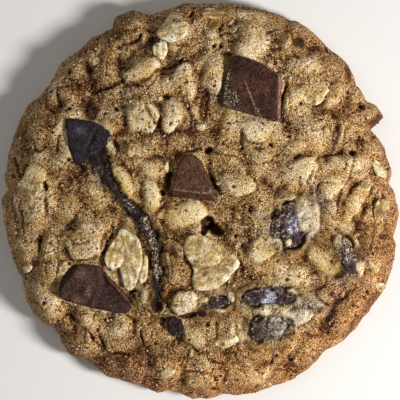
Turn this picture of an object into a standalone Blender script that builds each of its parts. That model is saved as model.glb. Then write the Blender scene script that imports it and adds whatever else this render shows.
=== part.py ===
"""An oatmeal chocolate chunk cookie, lying as it was baked, on its flat underside.

Metres, +Z up. The origin is the middle of the underside and +Y is the far edge, seen from above.
The dough is one solid: a domed disc with an uneven edge, mounds, and oat flakes fused to its top.
Each chunk and pool of chocolate is its own solid and sits in a pocket of the dough.
"""

import math

import bmesh
import bpy
import numpy as np

MM = 0.001

# Driving dimensions of the dough.
COOKIE_WIDTH = 89.2 * MM
CROWN_HEIGHT = 10.7 * MM
WIDEST_HEIGHT = 3.4 * MM
FOOT_SHARE = 0.955
FOOT_UNEVENNESS = 0.6
SHOULDER_POWER = 4.0
MEAN_RADIUS = COOKIE_WIDTH / 2

# The mounds: how much higher than their table says, how square they are, and how steep their sides.
RELIEF = 1.2
MOUND_SQUARENESS = 2.4
MOUND_SPREAD = 1.15
MOUND_STEEPNESS = 0.6

# How finely the dough is divided, and how its relief dies away on the side.
DISC_CELLS = 46
SIDE_RINGS = 2
SIDE_FADE = 0.75

# The room between a piece of chocolate and its pocket, and a height above everything.
GAP = 0.3 * MM
SKY = 22.0 * MM

# Oat flakes: how many are scattered and how far out, how big a rolled oat is, how far it leans, how
# far it keeps off the chocolate, and the size and level of its three rings.
SCATTERED_FLAKES = 50
FLAKE_LENGTH = (6.4 * MM, 8.8 * MM)
FLAKE_WIDTH = (4.6 * MM, 6.4 * MM)
FLAKE_THICKNESS = 1.5 * MM
FLAKE_SUNK = 0.15 * MM
FLAKE_LEAN = 9.0
FLAKE_SIDES = 7
FLAKE_REACH = 0.9
FLAKE_CLEAR = 2.2 * MM
FLAKE_RINGS = ((0.6, -0.5), (1.0, 0.0), (0.62, 0.5))
FLAKE_SEED = 11
GOLDEN_ANGLE = math.pi * (3 - math.sqrt(5))

# The edge seen from above: angle from +X in degrees, and millimetres outside the mean radius.
EDGE = (
    (2, -0.5), (5, -1.7), (9, -1.0), (15, -1.3), (20, -2.7), (22.4, -3.3), (24.2, 0.7), (28.5, 0.0),
    (30.5, -0.9), (36, -1.0), (42, 0.3), (50, 0.4), (57, 0.8), (68, 0.9), (80, 0.4), (91, -0.4),
    (94, -0.1), (101, -1.0), (105.5, -1.5), (109.5, 0.7), (115, 0.6), (117, -1.4), (124, -1.1),
    (129, -1.5), (135, -0.7), (139, -1.5), (147.5, -1.9), (151, -0.6), (157, 0.0), (173, -0.3),
    (176.7, -1.4), (180, 0.1), (190, -0.2), (204, -0.8), (210, 0.1), (214, 0.5), (218, 0.2),
    (220.5, -1.2), (223, -0.7), (229, 0.5), (232, 0.4), (234.5, -0.6), (240, 0.2), (252, -0.6),
    (257.5, 0.0), (260.5, -1.2), (263, -1.3), (268, 0.2), (272, 0.3), (277, -0.5), (286, 0.8),
    (289, 0.3), (298, 1.0), (309.5, -0.5), (320, 1.0), (324, 0.7), (332, 1.4), (340, 1.3),
    (347, 0.8), (349, -0.2), (356, 0.4),
)

# Mounds of dough over oats: place x and y, length and width, turn in degrees, rise. Millimetres.
MOUNDS = (
    # Far edge and upper left.
    (-15.6, 39.2, 7.5, 6.0, 10, 1.1), (-5.5, 38.0, 6.8, 5.0, 10, 1.5), (2.4, 36.0, 5.0, 4.5, 0, 0.8),
    (11.4, 35.1, 8.5, 6.2, 80, 1.5), (9.8, 41.0, 8.5, 2.6, -12, 0.9), (19.5, 34.5, 5.5, 3.4, 70, 1.0),
    (24.2, 36.7, 5.5, 3.5, -35, 0.9), (-22.4, 35.3, 7.5, 5.0, 35, 1.0), (-18.3, 34.0, 5.5, 4.0, 30, 0.9),
    (-27.3, 30.2, 7.0, 6.5, 40, 1.2), (-20.6, 29.7, 4.6, 4.6, 0, 1.0), (-12.7, 29.5, 8.5, 5.0, 15, 1.2),
    (-32.5, 24.5, 9.0, 4.2, 65, 1.2), (-28.7, 23.4, 5.5, 4.5, 0, 0.9), (-11.1, 24.5, 7.5, 5.5, 0, 1.1),
    (-19.7, 25.0, 5.6, 4.4, 20, 0.8), (-3.7, 26.0, 7.8, 6.3, 80, 1.6), (3.3, 28.5, 9.5, 4.6, 80, 1.3),
    (-28.0, 19.4, 6.5, 3.2, 5, 0.8), (-20.0, 18.9, 7.0, 4.0, -60, 0.9), (-13.4, 18.9, 8.6, 7.0, 80, 1.7),
    (-7.1, 18.9, 7.0, 5.0, 80, 1.5), (-2.1, 19.9, 3.8, 3.4, 0, 0.9),
    # Left side.
    (-37.5, 19.6, 5.5, 5.0, 0, 0.9), (-35.3, 15.0, 6.5, 5.0, 0, 1.0), (-31.6, 16.0, 6.0, 4.0, 80, 1.1),
    (-35.9, 2.0, 17.0, 7.4, 80, 1.7), (-30.6, 8.2, 6.5, 5.5, 60, 1.2), (-24.6, -8.6, 11.0, 9.0, 20, 1.6),
    (-24.0, 1.6, 8.0, 5.5, -50, 1.1), (-33.3, -9.6, 5.2, 4.4, 90, 1.0), (-38.8, -10.0, 6.5, 6.0, 70, 1.0),
    (-34.6, -22.6, 11.0, 7.0, -55, 1.6), (-33.0, -14.8, 6.0, 4.6, 40, 1.0),
    # Middle.
    (13.2, 15.2, 15.0, 6.4, -12, 1.3), (-12.8, 11.0, 7.5, 5.5, 10, 1.2), (-9.4, 6.8, 6.5, 4.2, 60, 1.1),
    (23.9, 14.4, 10.0, 7.0, 10, 1.3), (22.2, 6.1, 9.6, 7.4, 20, 1.4), (8.5, 3.4, 9.0, 7.6, 10, 1.4),
    (13.4, -1.6, 8.0, 6.0, 80, 1.0), (6.4, 9.4, 7.0, 5.0, -20, 1.0), (13.4, 8.6, 7.0, 5.2, 15, 1.1),
    (13.0, -11.0, 8.6, 6.8, 25, 1.4), (7.6, -8.0, 6.0, 4.6, 60, 0.8), (-3.0, -10.6, 7.6, 5.6, 10, 1.1),
    (-3.2, -22.2, 6.6, 6.0, 0, 1.4), (-5.4, -16.6, 5.4, 4.6, 60, 0.9),
    # Right side.
    (23.7, 29.7, 9.0, 5.4, 0, 1.2), (20.8, 23.2, 5.0, 4.0, 60, 1.0), (22.6, 19.8, 6.0, 3.6, 0, 0.9),
    (31.4, 24.7, 6.6, 4.6, 70, 1.0), (30.7, 30.0, 6.6, 5.0, -40, 0.9), (35.0, 23.8, 5.0, 3.2, -45, 0.8),
    (38.6, 19.0, 5.2, 4.6, 30, 1.1), (33.4, 16.4, 8.0, 6.0, 40, 1.1), (32.3, 7.6, 10.5, 3.8, 18, 1.3),
    (29.4, 3.2, 7.0, 4.6, 25, 1.2), (38.4, 11.4, 6.6, 5.0, 60, 0.9), (28.8, -3.6, 6.6, 3.8, 60, 1.0),
    (39.0, -14.0, 8.0, 7.4, 70, 1.1), (38.0, -8.6, 4.6, 4.4, 0, 0.8), (38.8, -19.0, 5.0, 4.4, -50, 1.0),
    # Near edge.
    (20.0, -17.2, 9.0, 6.2, 20, 1.1), (22.6, -26.4, 13.0, 5.8, 38, 1.4), (33.5, -25.0, 14.0, 6.4, 50, 1.0),
    (23.7, -34.2, 8.6, 6.6, 35, 1.0), (11.5, -38.4, 12.0, 6.6, 5, 1.1), (8.2, -28.0, 8.0, 6.0, 80, 1.1),
    (15.8, -34.4, 8.0, 4.4, 20, 0.9), (0.8, -37.4, 10.0, 9.0, 0, 1.3), (-2.1, -30.8, 4.2, 3.6, 20, 0.9),
    (-7.8, -37.0, 8.6, 6.8, 85, 1.2), (2.0, -28.8, 6.4, 4.6, 0, 0.8), (-12.0, -29.6, 6.6, 6.0, 0, 1.1),
    (-18.3, -30.2, 8.0, 7.4, 75, 1.5), (-25.8, -32.0, 9.0, 8.0, 40, 1.3), (-24.8, -27.0, 8.0, 4.4, -35, 1.0),
    (-15.4, -38.0, 8.0, 5.4, -20, 0.9), (-12.6, -20.4, 5.0, 3.2, 80, 0.9),
)

# Oat flakes that lie bare on top: place x and y, length and width, turn in degrees. Millimetres.
BARE_FLAKES = (
    (-16.6, -12.0, 13.4, 7.0, 98), (-15.9, 3.4, 7.4, 4.6, -62), (-11.1, 0.6, 7.2, 2.9, 93),
    (-3.7, -3.4, 9.2, 6.0, 20), (3.2, -14.6, 10.4, 8.4, -55), (-29.8, -1.1, 7.6, 6.6, 10),
    (-8.9, 33.8, 4.4, 3.2, 100), (25.3, 24.4, 6.4, 5.4, 30), (27.2, -13.4, 8.4, 5.4, -35),
    (40.2, -2.2, 5.4, 3.8, 80), (40.6, 7.0, 4.8, 2.4, -50), (5.9, -31.4, 5.6, 2.6, 18),
    (35.0, -0.6, 12.4, 4.4, 57), (3.0, 41.4, 4.8, 2.4, 10),
)

# Broken chocolate: corners of the top face, anticlockwise from above, how far its middle stands over
# the plain crown, and how much it climbs per millimetre along x and y. Millimetres.
CHUNK_DEPTH = 6.0
CHUNK_EDGE = 0.5
CHUNK_FLARE = 0.4
CHUNKS = {
    "chocolate_chunk_upper_right": (
        ((5.0, 20.4), (10.2, 19.0), (14.0, 17.9), (17.8, 16.9), (18.2, 27.3), (14.6, 30.3),
         (7.3, 32.3), (5.9, 28.8), (5.0, 25.0)),
        1.8, 0.03, 0.02,
    ),
    "chocolate_chunk_left": (
        ((-28.2, 8.8), (-27.2, 7.6), (-24.6, 9.2), (-19.9, 13.0), (-19.5, 13.9), (-20.6, 15.4),
         (-22.6, 17.0), (-25.0, 17.7), (-29.6, 18.0), (-29.3, 13.0)),
        1.2, 0.05, 0.03,
    ),
    "chocolate_chunk_lower_left": (
        ((-30.2, -22.9), (-25.3, -23.8), (-18.2, -25.9), (-15.4, -25.0), (-15.0, -22.1),
         (-20.9, -15.9), (-22.0, -14.6), (-28.0, -14.3), (-30.5, -16.7), (-31.7, -20.3)),
        1.6, 0.03, 0.0,
    ),
    "chocolate_chunk_small": (
        ((-7.3, -28.8), (-6.0, -30.2), (-4.4, -30.8), (-3.7, -28.4), (-4.2, -26.6), (-6.2, -25.9),
         (-7.3, -27.2)),
        0.8, 0.03, 0.03,
    ),
}

# The chunk in the middle is a wedge: its foot reaches further to the front than its top face.
WEDGE_NAME = "chocolate_chunk_centre"
WEDGE_TOP = (
    (-6.0, 2.1), (2.6, 1.7), (1.3, 5.5), (-0.2, 8.8), (-1.6, 9.9), (-3.2, 9.9), (-4.5, 8.4), (-5.4, 5.2),
)
WEDGE_FOOT = (
    (-6.5, 0.8), (3.7, -0.3), (2.3, 5.4), (0.4, 9.2), (-1.4, 10.5), (-3.4, 10.4), (-5.0, 8.7), (-6.0, 5.2),
)
WEDGE_PROUD = 2.0
WEDGE_SLOPE = (0.0, -0.05)

# Pools of chocolate half sunk in the dough: place, length and width, turn in degrees, and how far
# they stand over the plain crown. Millimetres.
POOL_DEPTH = 4.2
POOL_SIDES = 14
POOL_PROFILE = ((1.0, 1.1), (0.86, 0.4), (0.55, 0.08), (0.2, 0.0))
POOLS = {
    "chocolate_pool_middle_right": (20.4, -5.6, 12.2, 9.4, 50, 1.1),
    "chocolate_pool_right": (32.5, -12.2, 10.4, 4.8, -72, 0.7),
    "chocolate_pool_lower_right": (15.5, -28.4, 9.4, 7.2, 15, 0.9),
    "chocolate_pool_glossy": (15.2, -21.5, 13.2, 4.4, 3, 1.1),
    "chocolate_pool_lower_middle": (4.0, -22.8, 7.4, 3.6, 18, 0.7),
}

# The melted streak: its middle line and its width at each point. Millimetres.
STREAK_NAME = "melted_chocolate_streak"
STREAK = (
    (-22.6, 9.0, 4.4), (-21.2, 5.8, 4.4), (-19.4, 2.6, 3.8), (-16.6, -0.5, 3.8), (-13.4, -3.8, 4.2),
    (-11.2, -7.2, 4.0), (-10.0, -10.8, 3.8), (-9.4, -14.2, 3.6), (-9.4, -18.0, 3.0), (-9.6, -22.6, 2.0),
)
STREAK_THICKNESS = 2.4
STREAK_PROUD = 0.3
STREAK_STEP = 1.6 * MM
STREAK_SIDES = 8

# The deep hole beside the middle: place, widths at its mouth and floor, and their heights. Millimetres.
HOLE_PLACE = (2.4, -5.9)
HOLE_WIDTHS = (4.2, 1.8)
HOLE_FLOOR = 8.0
HOLE_MOUTH = 11.9
HOLE_FLATNESS = 0.85
HOLE_TURN = 20
HOLE_SIDES = 7

CHOCOLATE = (0.045, 0.020, 0.014)
MELTED_CHOCOLATE = (0.022, 0.012, 0.011)
BAKED_DOUGH = (0.250, 0.145, 0.062)


def empty_scene():
    """Start from nothing."""
    for thing in list(bpy.data.objects):
        bpy.data.objects.remove(thing, do_unlink=True)


def finish_material(name, colour, roughness):
    """A plain surface of one colour and roughness."""
    made = bpy.data.materials.new(name)
    made.use_nodes = True
    shader = made.node_tree.nodes["Principled BSDF"]
    shader.inputs["Base Color"].default_value = (*colour, 1.0)
    shader.inputs["Roughness"].default_value = roughness
    shader.inputs["Metallic"].default_value = 0.0
    made.diffuse_color = (*colour, 1.0)
    return made


def mesh_object(name, points, faces, surface=None, collection=None):
    """A triangulated object from points and faces, with every face turned outwards."""
    mesh = bpy.data.meshes.new(name)
    mesh.from_pydata([tuple(map(float, p)) for p in points], [], faces)
    work = bmesh.new()
    work.from_mesh(mesh)
    bmesh.ops.triangulate(work, faces=work.faces)
    bmesh.ops.recalc_face_normals(work, faces=work.faces)
    work.to_mesh(mesh)
    work.free()
    made = bpy.data.objects.new(name, mesh)
    if surface:
        mesh.materials.append(surface)
    (collection or bpy.context.scene.collection).objects.link(made)
    return made


def stacked(name, rings, surface=None, collection=None):
    """A closed solid through rings of equally many points, with a flat cap on the first and last."""
    count = len(rings[0])
    faces = [list(range(count)), [len(rings) * count - 1 - i for i in range(count)]]
    for ring in range(len(rings) - 1):
        for i in range(count):
            j = (i + 1) % count
            low, high = ring * count, (ring + 1) * count
            faces.append([low + i, low + j, high + j, high + i])
    return mesh_object(name, np.concatenate(rings), faces, surface, collection)


def smoothstep(low, high, value):
    """0 below low, 1 above high, and an even S between them."""
    share = np.clip((value - low) / (high - low), 0.0, 1.0)
    return share * share * (3 - 2 * share)


def edge_offset(angle):
    """How far the edge stands outside the mean radius at an angle."""
    knots = np.array(EDGE)
    return np.interp(np.degrees(angle) % 360, knots[:, 0], knots[:, 1] * MM, period=360)


def crown_height(x, y):
    """Height of the plain domed top over a point: a superellipse of the distance from the middle."""
    share = np.clip(np.hypot(x, y) / MEAN_RADIUS, 0.0, 1.0)
    return WIDEST_HEIGHT + (CROWN_HEIGHT - WIDEST_HEIGHT) * np.sqrt(1 - share**SHOULDER_POWER)


def mound_relief(x, y):
    """The highest mound at each point. A mound is a dome over a rounded oblong."""
    relief = np.zeros_like(x)
    for place_x, place_y, length, width, turn, rise in MOUNDS:
        c, s = math.cos(math.radians(turn)), math.sin(math.radians(turn))
        dx, dy = x - place_x * MM, y - place_y * MM
        along = (np.abs(c * dx + s * dy) / (length * MM / 2)) ** MOUND_SQUARENESS
        across = (np.abs(c * dy - s * dx) / (width * MM / 2)) ** MOUND_SQUARENESS
        dome = np.clip(MOUND_SPREAD - along - across, 0.0, 1.0) ** MOUND_STEEPNESS
        relief = np.maximum(relief, RELIEF * rise * MM * dome)
    return relief


def meridian(share):
    """Radius share and height at even steps along the dome's profile, middle to widest ring."""
    sweep = np.linspace(0.0, math.pi / 2, 600)
    reach = np.sin(sweep) ** (2 / SHOULDER_POWER)
    height = WIDEST_HEIGHT + (CROWN_HEIGHT - WIDEST_HEIGHT) * np.cos(sweep)
    steps = np.hypot(np.diff(reach) * MEAN_RADIUS, np.diff(height))
    run = np.concatenate(([0.0], np.cumsum(steps)))
    run /= run[-1]
    return np.interp(share, run, reach), np.interp(share, run, height)


def dome_normal(reach, height, angle):
    """The direction straight out of the plain dome, from its superellipse's gradient."""
    out = SHOULDER_POWER * reach ** (SHOULDER_POWER - 1) / MEAN_RADIUS
    up = 2 * (height - WIDEST_HEIGHT) / (CROWN_HEIGHT - WIDEST_HEIGHT) ** 2
    normal = np.stack((out * np.cos(angle), out * np.sin(angle), up), axis=-1)
    return normal / np.linalg.norm(normal, axis=-1, keepdims=True)


def dome_points(share, angle):
    """Points of the top, and the normals of the plain dome under them: the profile turned round the
    middle, plus relief along its normal."""
    reach, height = meridian(share)
    radius = reach * MEAN_RADIUS + edge_offset(angle) * reach**4
    x, y = radius * np.cos(angle), radius * np.sin(angle)
    normal = dome_normal(reach, height, angle)
    relief = mound_relief(x, y) * (1 - SIDE_FADE * smoothstep(0.9, 1.0, reach))
    return np.stack((x, y, height), axis=-1) + relief[..., None] * normal, normal


def disc_grid(cells):
    """Radius share and angle of a square grid drawn into a disc, so that its cells stay even."""
    side = np.linspace(-1.0, 1.0, cells + 1)
    a, b = np.meshgrid(side, side, indexing="ij")
    wide = np.abs(a) > np.abs(b)
    big = np.where(wide, a, b)
    ratio = np.where(wide, b, a) / np.where(big == 0, 1.0, big)
    angle = np.where(wide, ratio * math.pi / 4, math.pi / 2 - ratio * math.pi / 4)
    angle = np.where(big < 0, angle + math.pi, angle)
    return np.abs(big), angle


def dough_solid(surface):
    """The dough without its oats: domed top, round side and flat underside, closed."""
    share, angle = disc_grid(DISC_CELLS)
    points = list(dome_points(share.ravel(), angle.ravel())[0])
    across = DISC_CELLS + 1
    faces = []
    for i in range(DISC_CELLS):
        for j in range(DISC_CELLS):
            corner = i * across + j
            faces.append([corner, corner + across, corner + across + 1, corner + 1])
    last = DISC_CELLS
    rim = [i * across for i in range(last)]
    rim += [last * across + j for j in range(last)]
    rim += [i * across + last for i in range(last, 0, -1)]
    rim += [j for j in range(last, 0, -1)]
    rim_angle = angle.ravel()[rim]
    for ring in range(1, SIDE_RINGS + 1):
        sweep = ring / SIDE_RINGS * math.pi / 2
        unevenness = FOOT_UNEVENNESS + (1 - FOOT_UNEVENNESS) * math.cos(sweep)
        radius = MEAN_RADIUS * (FOOT_SHARE + (1 - FOOT_SHARE) * math.cos(sweep))
        radius = radius + edge_offset(rim_angle) * unevenness
        start = len(points)
        height = WIDEST_HEIGHT * (1 - math.sin(sweep))
        for r, turn in zip(radius, rim_angle):
            points.append((r * math.cos(turn), r * math.sin(turn), height))
        below = list(range(start, start + len(rim)))
        for i in range(len(rim)):
            j = (i + 1) % len(rim)
            faces.append([rim[i], rim[j], below[j], below[i]])
        rim = below
    points.append((0.0, 0.0, 0.0))
    middle = len(points) - 1
    faces += [[rim[i], rim[(i + 1) % len(rim)], middle] for i in range(len(rim))]
    return mesh_object("cookie_dough", points, faces, surface)


def oval(count, length, width, turn=0.0):
    """Points round an oval, anticlockwise, with its long side turned by some degrees."""
    sweep = np.arange(count) / count * 2 * math.pi
    x, y = length / 2 * np.cos(sweep), width / 2 * np.sin(sweep)
    c, s = math.cos(math.radians(turn)), math.sin(math.radians(turn))
    return np.stack((c * x - s * y, s * x + c * y), axis=-1)


def flake(number, place, length, width, turn, lean, collection):
    """One rolled oat: an oval lens on the dough, leaning a few degrees off the dome's own slope."""
    angle = np.array([math.atan2(place[1], place[0])])
    shares = np.linspace(0.0, 1.0, 400)
    share = np.interp([math.hypot(*place) / MEAN_RADIUS], meridian(shares)[0], shares)
    spot, normal = (found[0] for found in dome_points(share, angle))
    normal = normal + (*lean, 0.0)
    normal /= np.linalg.norm(normal)
    along = np.array((math.cos(math.radians(turn)), math.sin(math.radians(turn)), 0.0))
    along -= (along @ normal) * normal
    along /= np.linalg.norm(along)
    across = np.cross(normal, along)
    outline = oval(FLAKE_SIDES, length, width)
    rings = []
    for scale, level in FLAKE_RINGS:
        ring = outline[:, :1] * scale * along + outline[:, 1:] * scale * across
        rings.append(spot + ring + normal * (level * FLAKE_THICKNESS - FLAKE_SUNK))
    return stacked(f"oat_{number:02d}", rings, collection=collection)


def near_chocolate(x, y, margin):
    """Whether a point is on a piece of chocolate, or closer to it than the margin."""
    for corners, *_ in [*CHUNKS.values(), (WEDGE_FOOT,)]:
        outline = grown(np.array(corners) * MM, margin)
        after = np.roll(outline, -1, axis=0)
        side = (after - outline)[:, 0] * (y - outline[:, 1]) - (after - outline)[:, 1] * (x - outline[:, 0])
        if (side > 0).all():
            return True
    for px, py, length, width, *_ in POOLS.values():
        if math.hypot(x - px * MM, y - py * MM) < (length + width) * MM / 4 + margin:
            return True
    return any(math.hypot(x - px * MM, y - py * MM) < width * MM / 2 + margin for px, py, width in STREAK)


def all_flakes(collection):
    """The bare flakes at their places, then the scattered ones on a spiral that spreads them evenly."""
    draw = np.random.default_rng(FLAKE_SEED)
    number = 0
    for x, y, length, width, turn in BARE_FLAKES:
        lean = draw.uniform(-1, 1, 2) * math.tan(math.radians(FLAKE_LEAN)) * 0.5
        flake(number, (x * MM, y * MM), length * MM, width * MM, turn, lean, collection)
        number += 1
    for i in range(SCATTERED_FLAKES):
        radius = FLAKE_REACH * MEAN_RADIUS * math.sqrt((i + 0.5) / SCATTERED_FLAKES)
        x, y = radius * math.cos(i * GOLDEN_ANGLE), radius * math.sin(i * GOLDEN_ANGLE)
        length, width = draw.uniform(*FLAKE_LENGTH), draw.uniform(*FLAKE_WIDTH)
        turn = draw.uniform(0, 180)
        lean = draw.uniform(-1, 1, 2) * math.tan(math.radians(FLAKE_LEAN))
        if near_chocolate(x, y, FLAKE_CLEAR):
            continue
        flake(number, (x, y), length, width, turn, lean, collection)
        number += 1


def grown(outline, distance):
    """An anticlockwise outline moved outwards, each corner along the mean of its two edge normals."""
    into = outline - np.roll(outline, 1, axis=0)
    onward = np.roll(into, -1, axis=0)
    into = np.stack((into[:, 1], -into[:, 0]), axis=-1) / np.hypot(*into.T)[:, None]
    onward = np.stack((onward[:, 1], -onward[:, 0]), axis=-1) / np.hypot(*onward.T)[:, None]
    both = into + onward
    return outline + distance * both / (1 + (into * onward).sum(axis=1))[:, None]


def level_ring(outline, height):
    """An outline laid flat at a height, or at a height for each of its points."""
    return np.column_stack((outline, np.broadcast_to(height, len(outline))))


def pocket(name, outline, floor, collection):
    """The room for one piece of chocolate: its outline with the gap round it, open to the sky."""
    room = grown(outline, GAP)
    rings = [level_ring(room, floor - GAP), level_ring(room, SKY)]
    return stacked(f"pocket_{name}", rings, collection=collection)


def chunk(name, corners, foot, proud, slope, surface, pockets):
    """A broken piece of chocolate: a tilted flat top with a chamfered edge, and sides down to a foot."""
    top = np.array(corners) * MM
    middle = top.mean(axis=0)
    height = crown_height(*middle) + proud * MM
    face = height + (top - middle) @ np.array(slope)
    floor = height - CHUNK_DEPTH * MM
    edge = CHUNK_EDGE * MM
    rings = [
        level_ring(foot, floor),
        level_ring(top, face - edge),
        level_ring(grown(top, -edge), face),
    ]
    pocket(name, foot, floor, pockets)
    return stacked(name, rings, surface)


def pool(name, place_x, place_y, length, width, turn, proud, surface, pockets):
    """Chocolate half sunk in the dough: a low dome over an oval, on straight sides."""
    around = oval(POOL_SIDES, length * MM, width * MM, turn)
    middle = np.array((place_x, place_y)) * MM
    height = crown_height(*middle) + proud * MM
    floor = height - POOL_DEPTH * MM
    rings = [level_ring(middle + around, floor)]
    rings += [level_ring(middle + around * s, height - drop * MM) for s, drop in POOL_PROFILE]
    pocket(name, middle + around, floor, pockets)
    return stacked(name, rings, surface)


def smooth_path(points, step):
    """Points at even steps along a curve through the given points (Catmull-Rom)."""
    ends = np.vstack((2 * points[0] - points[1], points, 2 * points[-1] - points[-2]))
    share = np.linspace(0.0, 1.0, 12, endpoint=False)[:, None]
    curve = []
    for a, b, c, d in zip(ends, ends[1:], ends[2:], ends[3:]):
        curve.append(
            0.5 * (2 * b + (c - a) * share + (2 * a - 5 * b + 4 * c - d) * share**2
                   + (3 * b - a - 3 * c + d) * share**3)
        )
    curve = np.vstack([*curve, points[-1:]])
    run = np.concatenate(([0.0], np.cumsum(np.hypot(*np.diff(curve[:, :2], axis=0).T))))
    wanted = np.linspace(0.0, run[-1], int(run[-1] / step) + 1)
    return np.column_stack([np.interp(wanted, run, column) for column in curve.T])


def streak(surface, pockets):
    """The melted streak: an oval section carried along its line, and the trough that holds it."""
    line = smooth_path(np.array(STREAK) * MM, STREAK_STEP)
    ahead = np.gradient(line[:, :2], axis=0)
    ahead /= np.hypot(*ahead.T)[:, None]
    aside = np.stack((ahead[:, 1], -ahead[:, 0]), axis=-1)
    half = STREAK_THICKNESS * MM / 2
    level = crown_height(line[:, 0], line[:, 1]) + STREAK_PROUD * MM - half
    sweep = (np.arange(STREAK_SIDES) + 0.5) / STREAK_SIDES * 2 * math.pi
    taper = np.minimum(1.0, 0.75 + 0.25 * np.minimum(np.arange(len(line)), np.arange(len(line))[::-1]))
    rings = []
    for spot, side, width, z, full in zip(line[:, :2], aside, line[:, 2], level, taper):
        out = np.cos(sweep)[:, None] * side * width / 2 * full
        rings.append(np.column_stack((spot + out, z + np.sin(sweep) * half * full)))
    room = line[:, :2].copy()
    room[0] -= ahead[0] * GAP
    room[-1] += ahead[-1] * GAP
    walls = []
    for spot, side, width, z in zip(room, aside, line[:, 2], level):
        left, right = spot - side * (width / 2 + GAP), spot + side * (width / 2 + GAP)
        floor = z - half - GAP
        walls.append(np.array([(*left, floor), (*right, floor), (*right, SKY), (*left, SKY)]))
    stacked("pocket_streak", walls, collection=pockets)
    return stacked(STREAK_NAME, rings, surface)


def hole(pockets):
    """A cone-shaped hole that narrows towards its floor."""
    middle = np.array(HOLE_PLACE) * MM
    wide, narrow = (
        middle + oval(HOLE_SIDES, width * MM, width * HOLE_FLATNESS * MM, HOLE_TURN) for width in HOLE_WIDTHS
    )
    rings = [
        level_ring(narrow, HOLE_FLOOR * MM),
        level_ring(wide, HOLE_MOUTH * MM),
        level_ring(wide, SKY),
    ]
    return stacked("pocket_hole", rings, collection=pockets)


def hidden_collection(name):
    """A collection for solids that only shape another one."""
    made = bpy.data.collections.new(name)
    bpy.context.scene.collection.children.link(made)
    return made


def combine(target, collection, operation):
    """Join or cut a whole collection in one Boolean, keep the result, and remove the collection."""
    modifier = target.modifiers.new(operation.title(), "BOOLEAN")
    modifier.operation = operation
    modifier.operand_type = "COLLECTION"
    modifier.collection = collection
    modifier.solver = "EXACT"
    bpy.context.view_layer.update()
    seen = target.evaluated_get(bpy.context.evaluated_depsgraph_get())
    mesh = bpy.data.meshes.new_from_object(seen)
    target.modifiers.clear()
    target.data = mesh
    for thing in list(collection.objects):
        bpy.data.objects.remove(thing, do_unlink=True)
    bpy.data.collections.remove(collection)


def keep_largest_shell(target):
    """Merge points that coincide, and drop scraps that the cuts left loose."""
    work = bmesh.new()
    work.from_mesh(target.data)
    bmesh.ops.triangulate(work, faces=work.faces)
    bmesh.ops.remove_doubles(work, verts=work.verts, dist=0.005 * MM)
    bmesh.ops.dissolve_degenerate(work, edges=work.edges, dist=0.002 * MM)
    waiting = set(work.faces)
    shells = []
    while waiting:
        front = [waiting.pop()]
        shell = list(front)
        while front:
            around = {f for e in front.pop().edges for f in e.link_faces} & waiting
            waiting -= around
            front += around
            shell += around
        shells.append(shell)
    shells.sort(key=len, reverse=True)
    loose = [face for shell in shells[1:] for face in shell]
    bmesh.ops.delete(work, geom=loose, context="FACES")
    work.to_mesh(target.data)
    work.free()


def shade(target):
    """Smooth shading, except over sharp edges."""
    target.data.shade_smooth()
    target.data.set_sharp_from_angle(angle=math.radians(38))


def build():
    """The whole cookie."""
    empty_scene()
    dough_finish = finish_material("baked_dough", BAKED_DOUGH, 0.6)
    chocolate_finish = finish_material("chocolate", CHOCOLATE, 0.35)
    melted_finish = finish_material("melted_chocolate", MELTED_CHOCOLATE, 0.25)
    oats = hidden_collection("oats")
    pockets = hidden_collection("pockets")
    dough = dough_solid(dough_finish)
    all_flakes(oats)
    chocolate = []
    for name, (corners, proud, climb_x, climb_y) in CHUNKS.items():
        foot = grown(np.array(corners) * MM, CHUNK_FLARE * MM)
        slope = (climb_x, climb_y)
        chocolate.append(chunk(name, corners, foot, proud, slope, chocolate_finish, pockets))
    wedge_foot = np.array(WEDGE_FOOT) * MM
    chocolate.append(
        chunk(WEDGE_NAME, WEDGE_TOP, wedge_foot, WEDGE_PROUD, WEDGE_SLOPE, chocolate_finish, pockets)
    )
    for name, sizes in POOLS.items():
        chocolate.append(pool(name, *sizes, melted_finish, pockets))
    chocolate.append(streak(melted_finish, pockets))
    hole(pockets)
    combine(dough, oats, "UNION")
    combine(dough, pockets, "DIFFERENCE")
    keep_largest_shell(dough)
    for piece in [dough, *chocolate]:
        shade(piece)


build()
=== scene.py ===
"""The looks of an oatmeal chocolate chunk cookie: rough baked dough, bare oats, crumbs and chocolate.

Sizes are millimetres in the cookie's own frame: +X right and +Y up in the photograph, +Z up out of
the top. Meshes are written in metres.
"""

import math

import bpy
import numpy as np
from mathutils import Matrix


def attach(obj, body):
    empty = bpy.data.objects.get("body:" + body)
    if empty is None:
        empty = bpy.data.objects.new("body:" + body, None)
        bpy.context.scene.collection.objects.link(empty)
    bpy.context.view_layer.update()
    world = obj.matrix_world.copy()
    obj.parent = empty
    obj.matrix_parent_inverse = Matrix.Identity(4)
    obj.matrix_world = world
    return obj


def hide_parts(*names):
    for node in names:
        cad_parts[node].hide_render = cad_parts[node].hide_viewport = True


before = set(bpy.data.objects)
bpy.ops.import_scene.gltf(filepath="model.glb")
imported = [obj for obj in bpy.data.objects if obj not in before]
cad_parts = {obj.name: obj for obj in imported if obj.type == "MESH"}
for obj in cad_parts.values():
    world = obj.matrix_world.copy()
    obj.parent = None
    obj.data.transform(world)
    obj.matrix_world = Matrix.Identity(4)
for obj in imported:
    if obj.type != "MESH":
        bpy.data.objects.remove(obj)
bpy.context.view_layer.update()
MM = 0.001

# The plain dome under the relief: the same named sizes as the solids.
MEAN_RADIUS = 44.6
CROWN_HEIGHT = 10.7
WIDEST_HEIGHT = 3.4
FOOT_SHARE = 0.955
FOOT_UNEVENNESS = 0.6
SHOULDER_POWER = 4.0

# How the relief lies on it: less of it at the side, wide tall mounds, and valleys of one depth.
SIDE_FADE = 0.75
SIDE_CRAGS = 0.8
MOUND_SPREAD = 1.38
MOUND_RISE = 1.5
VALLEY_FLOOR = -0.7

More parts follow.
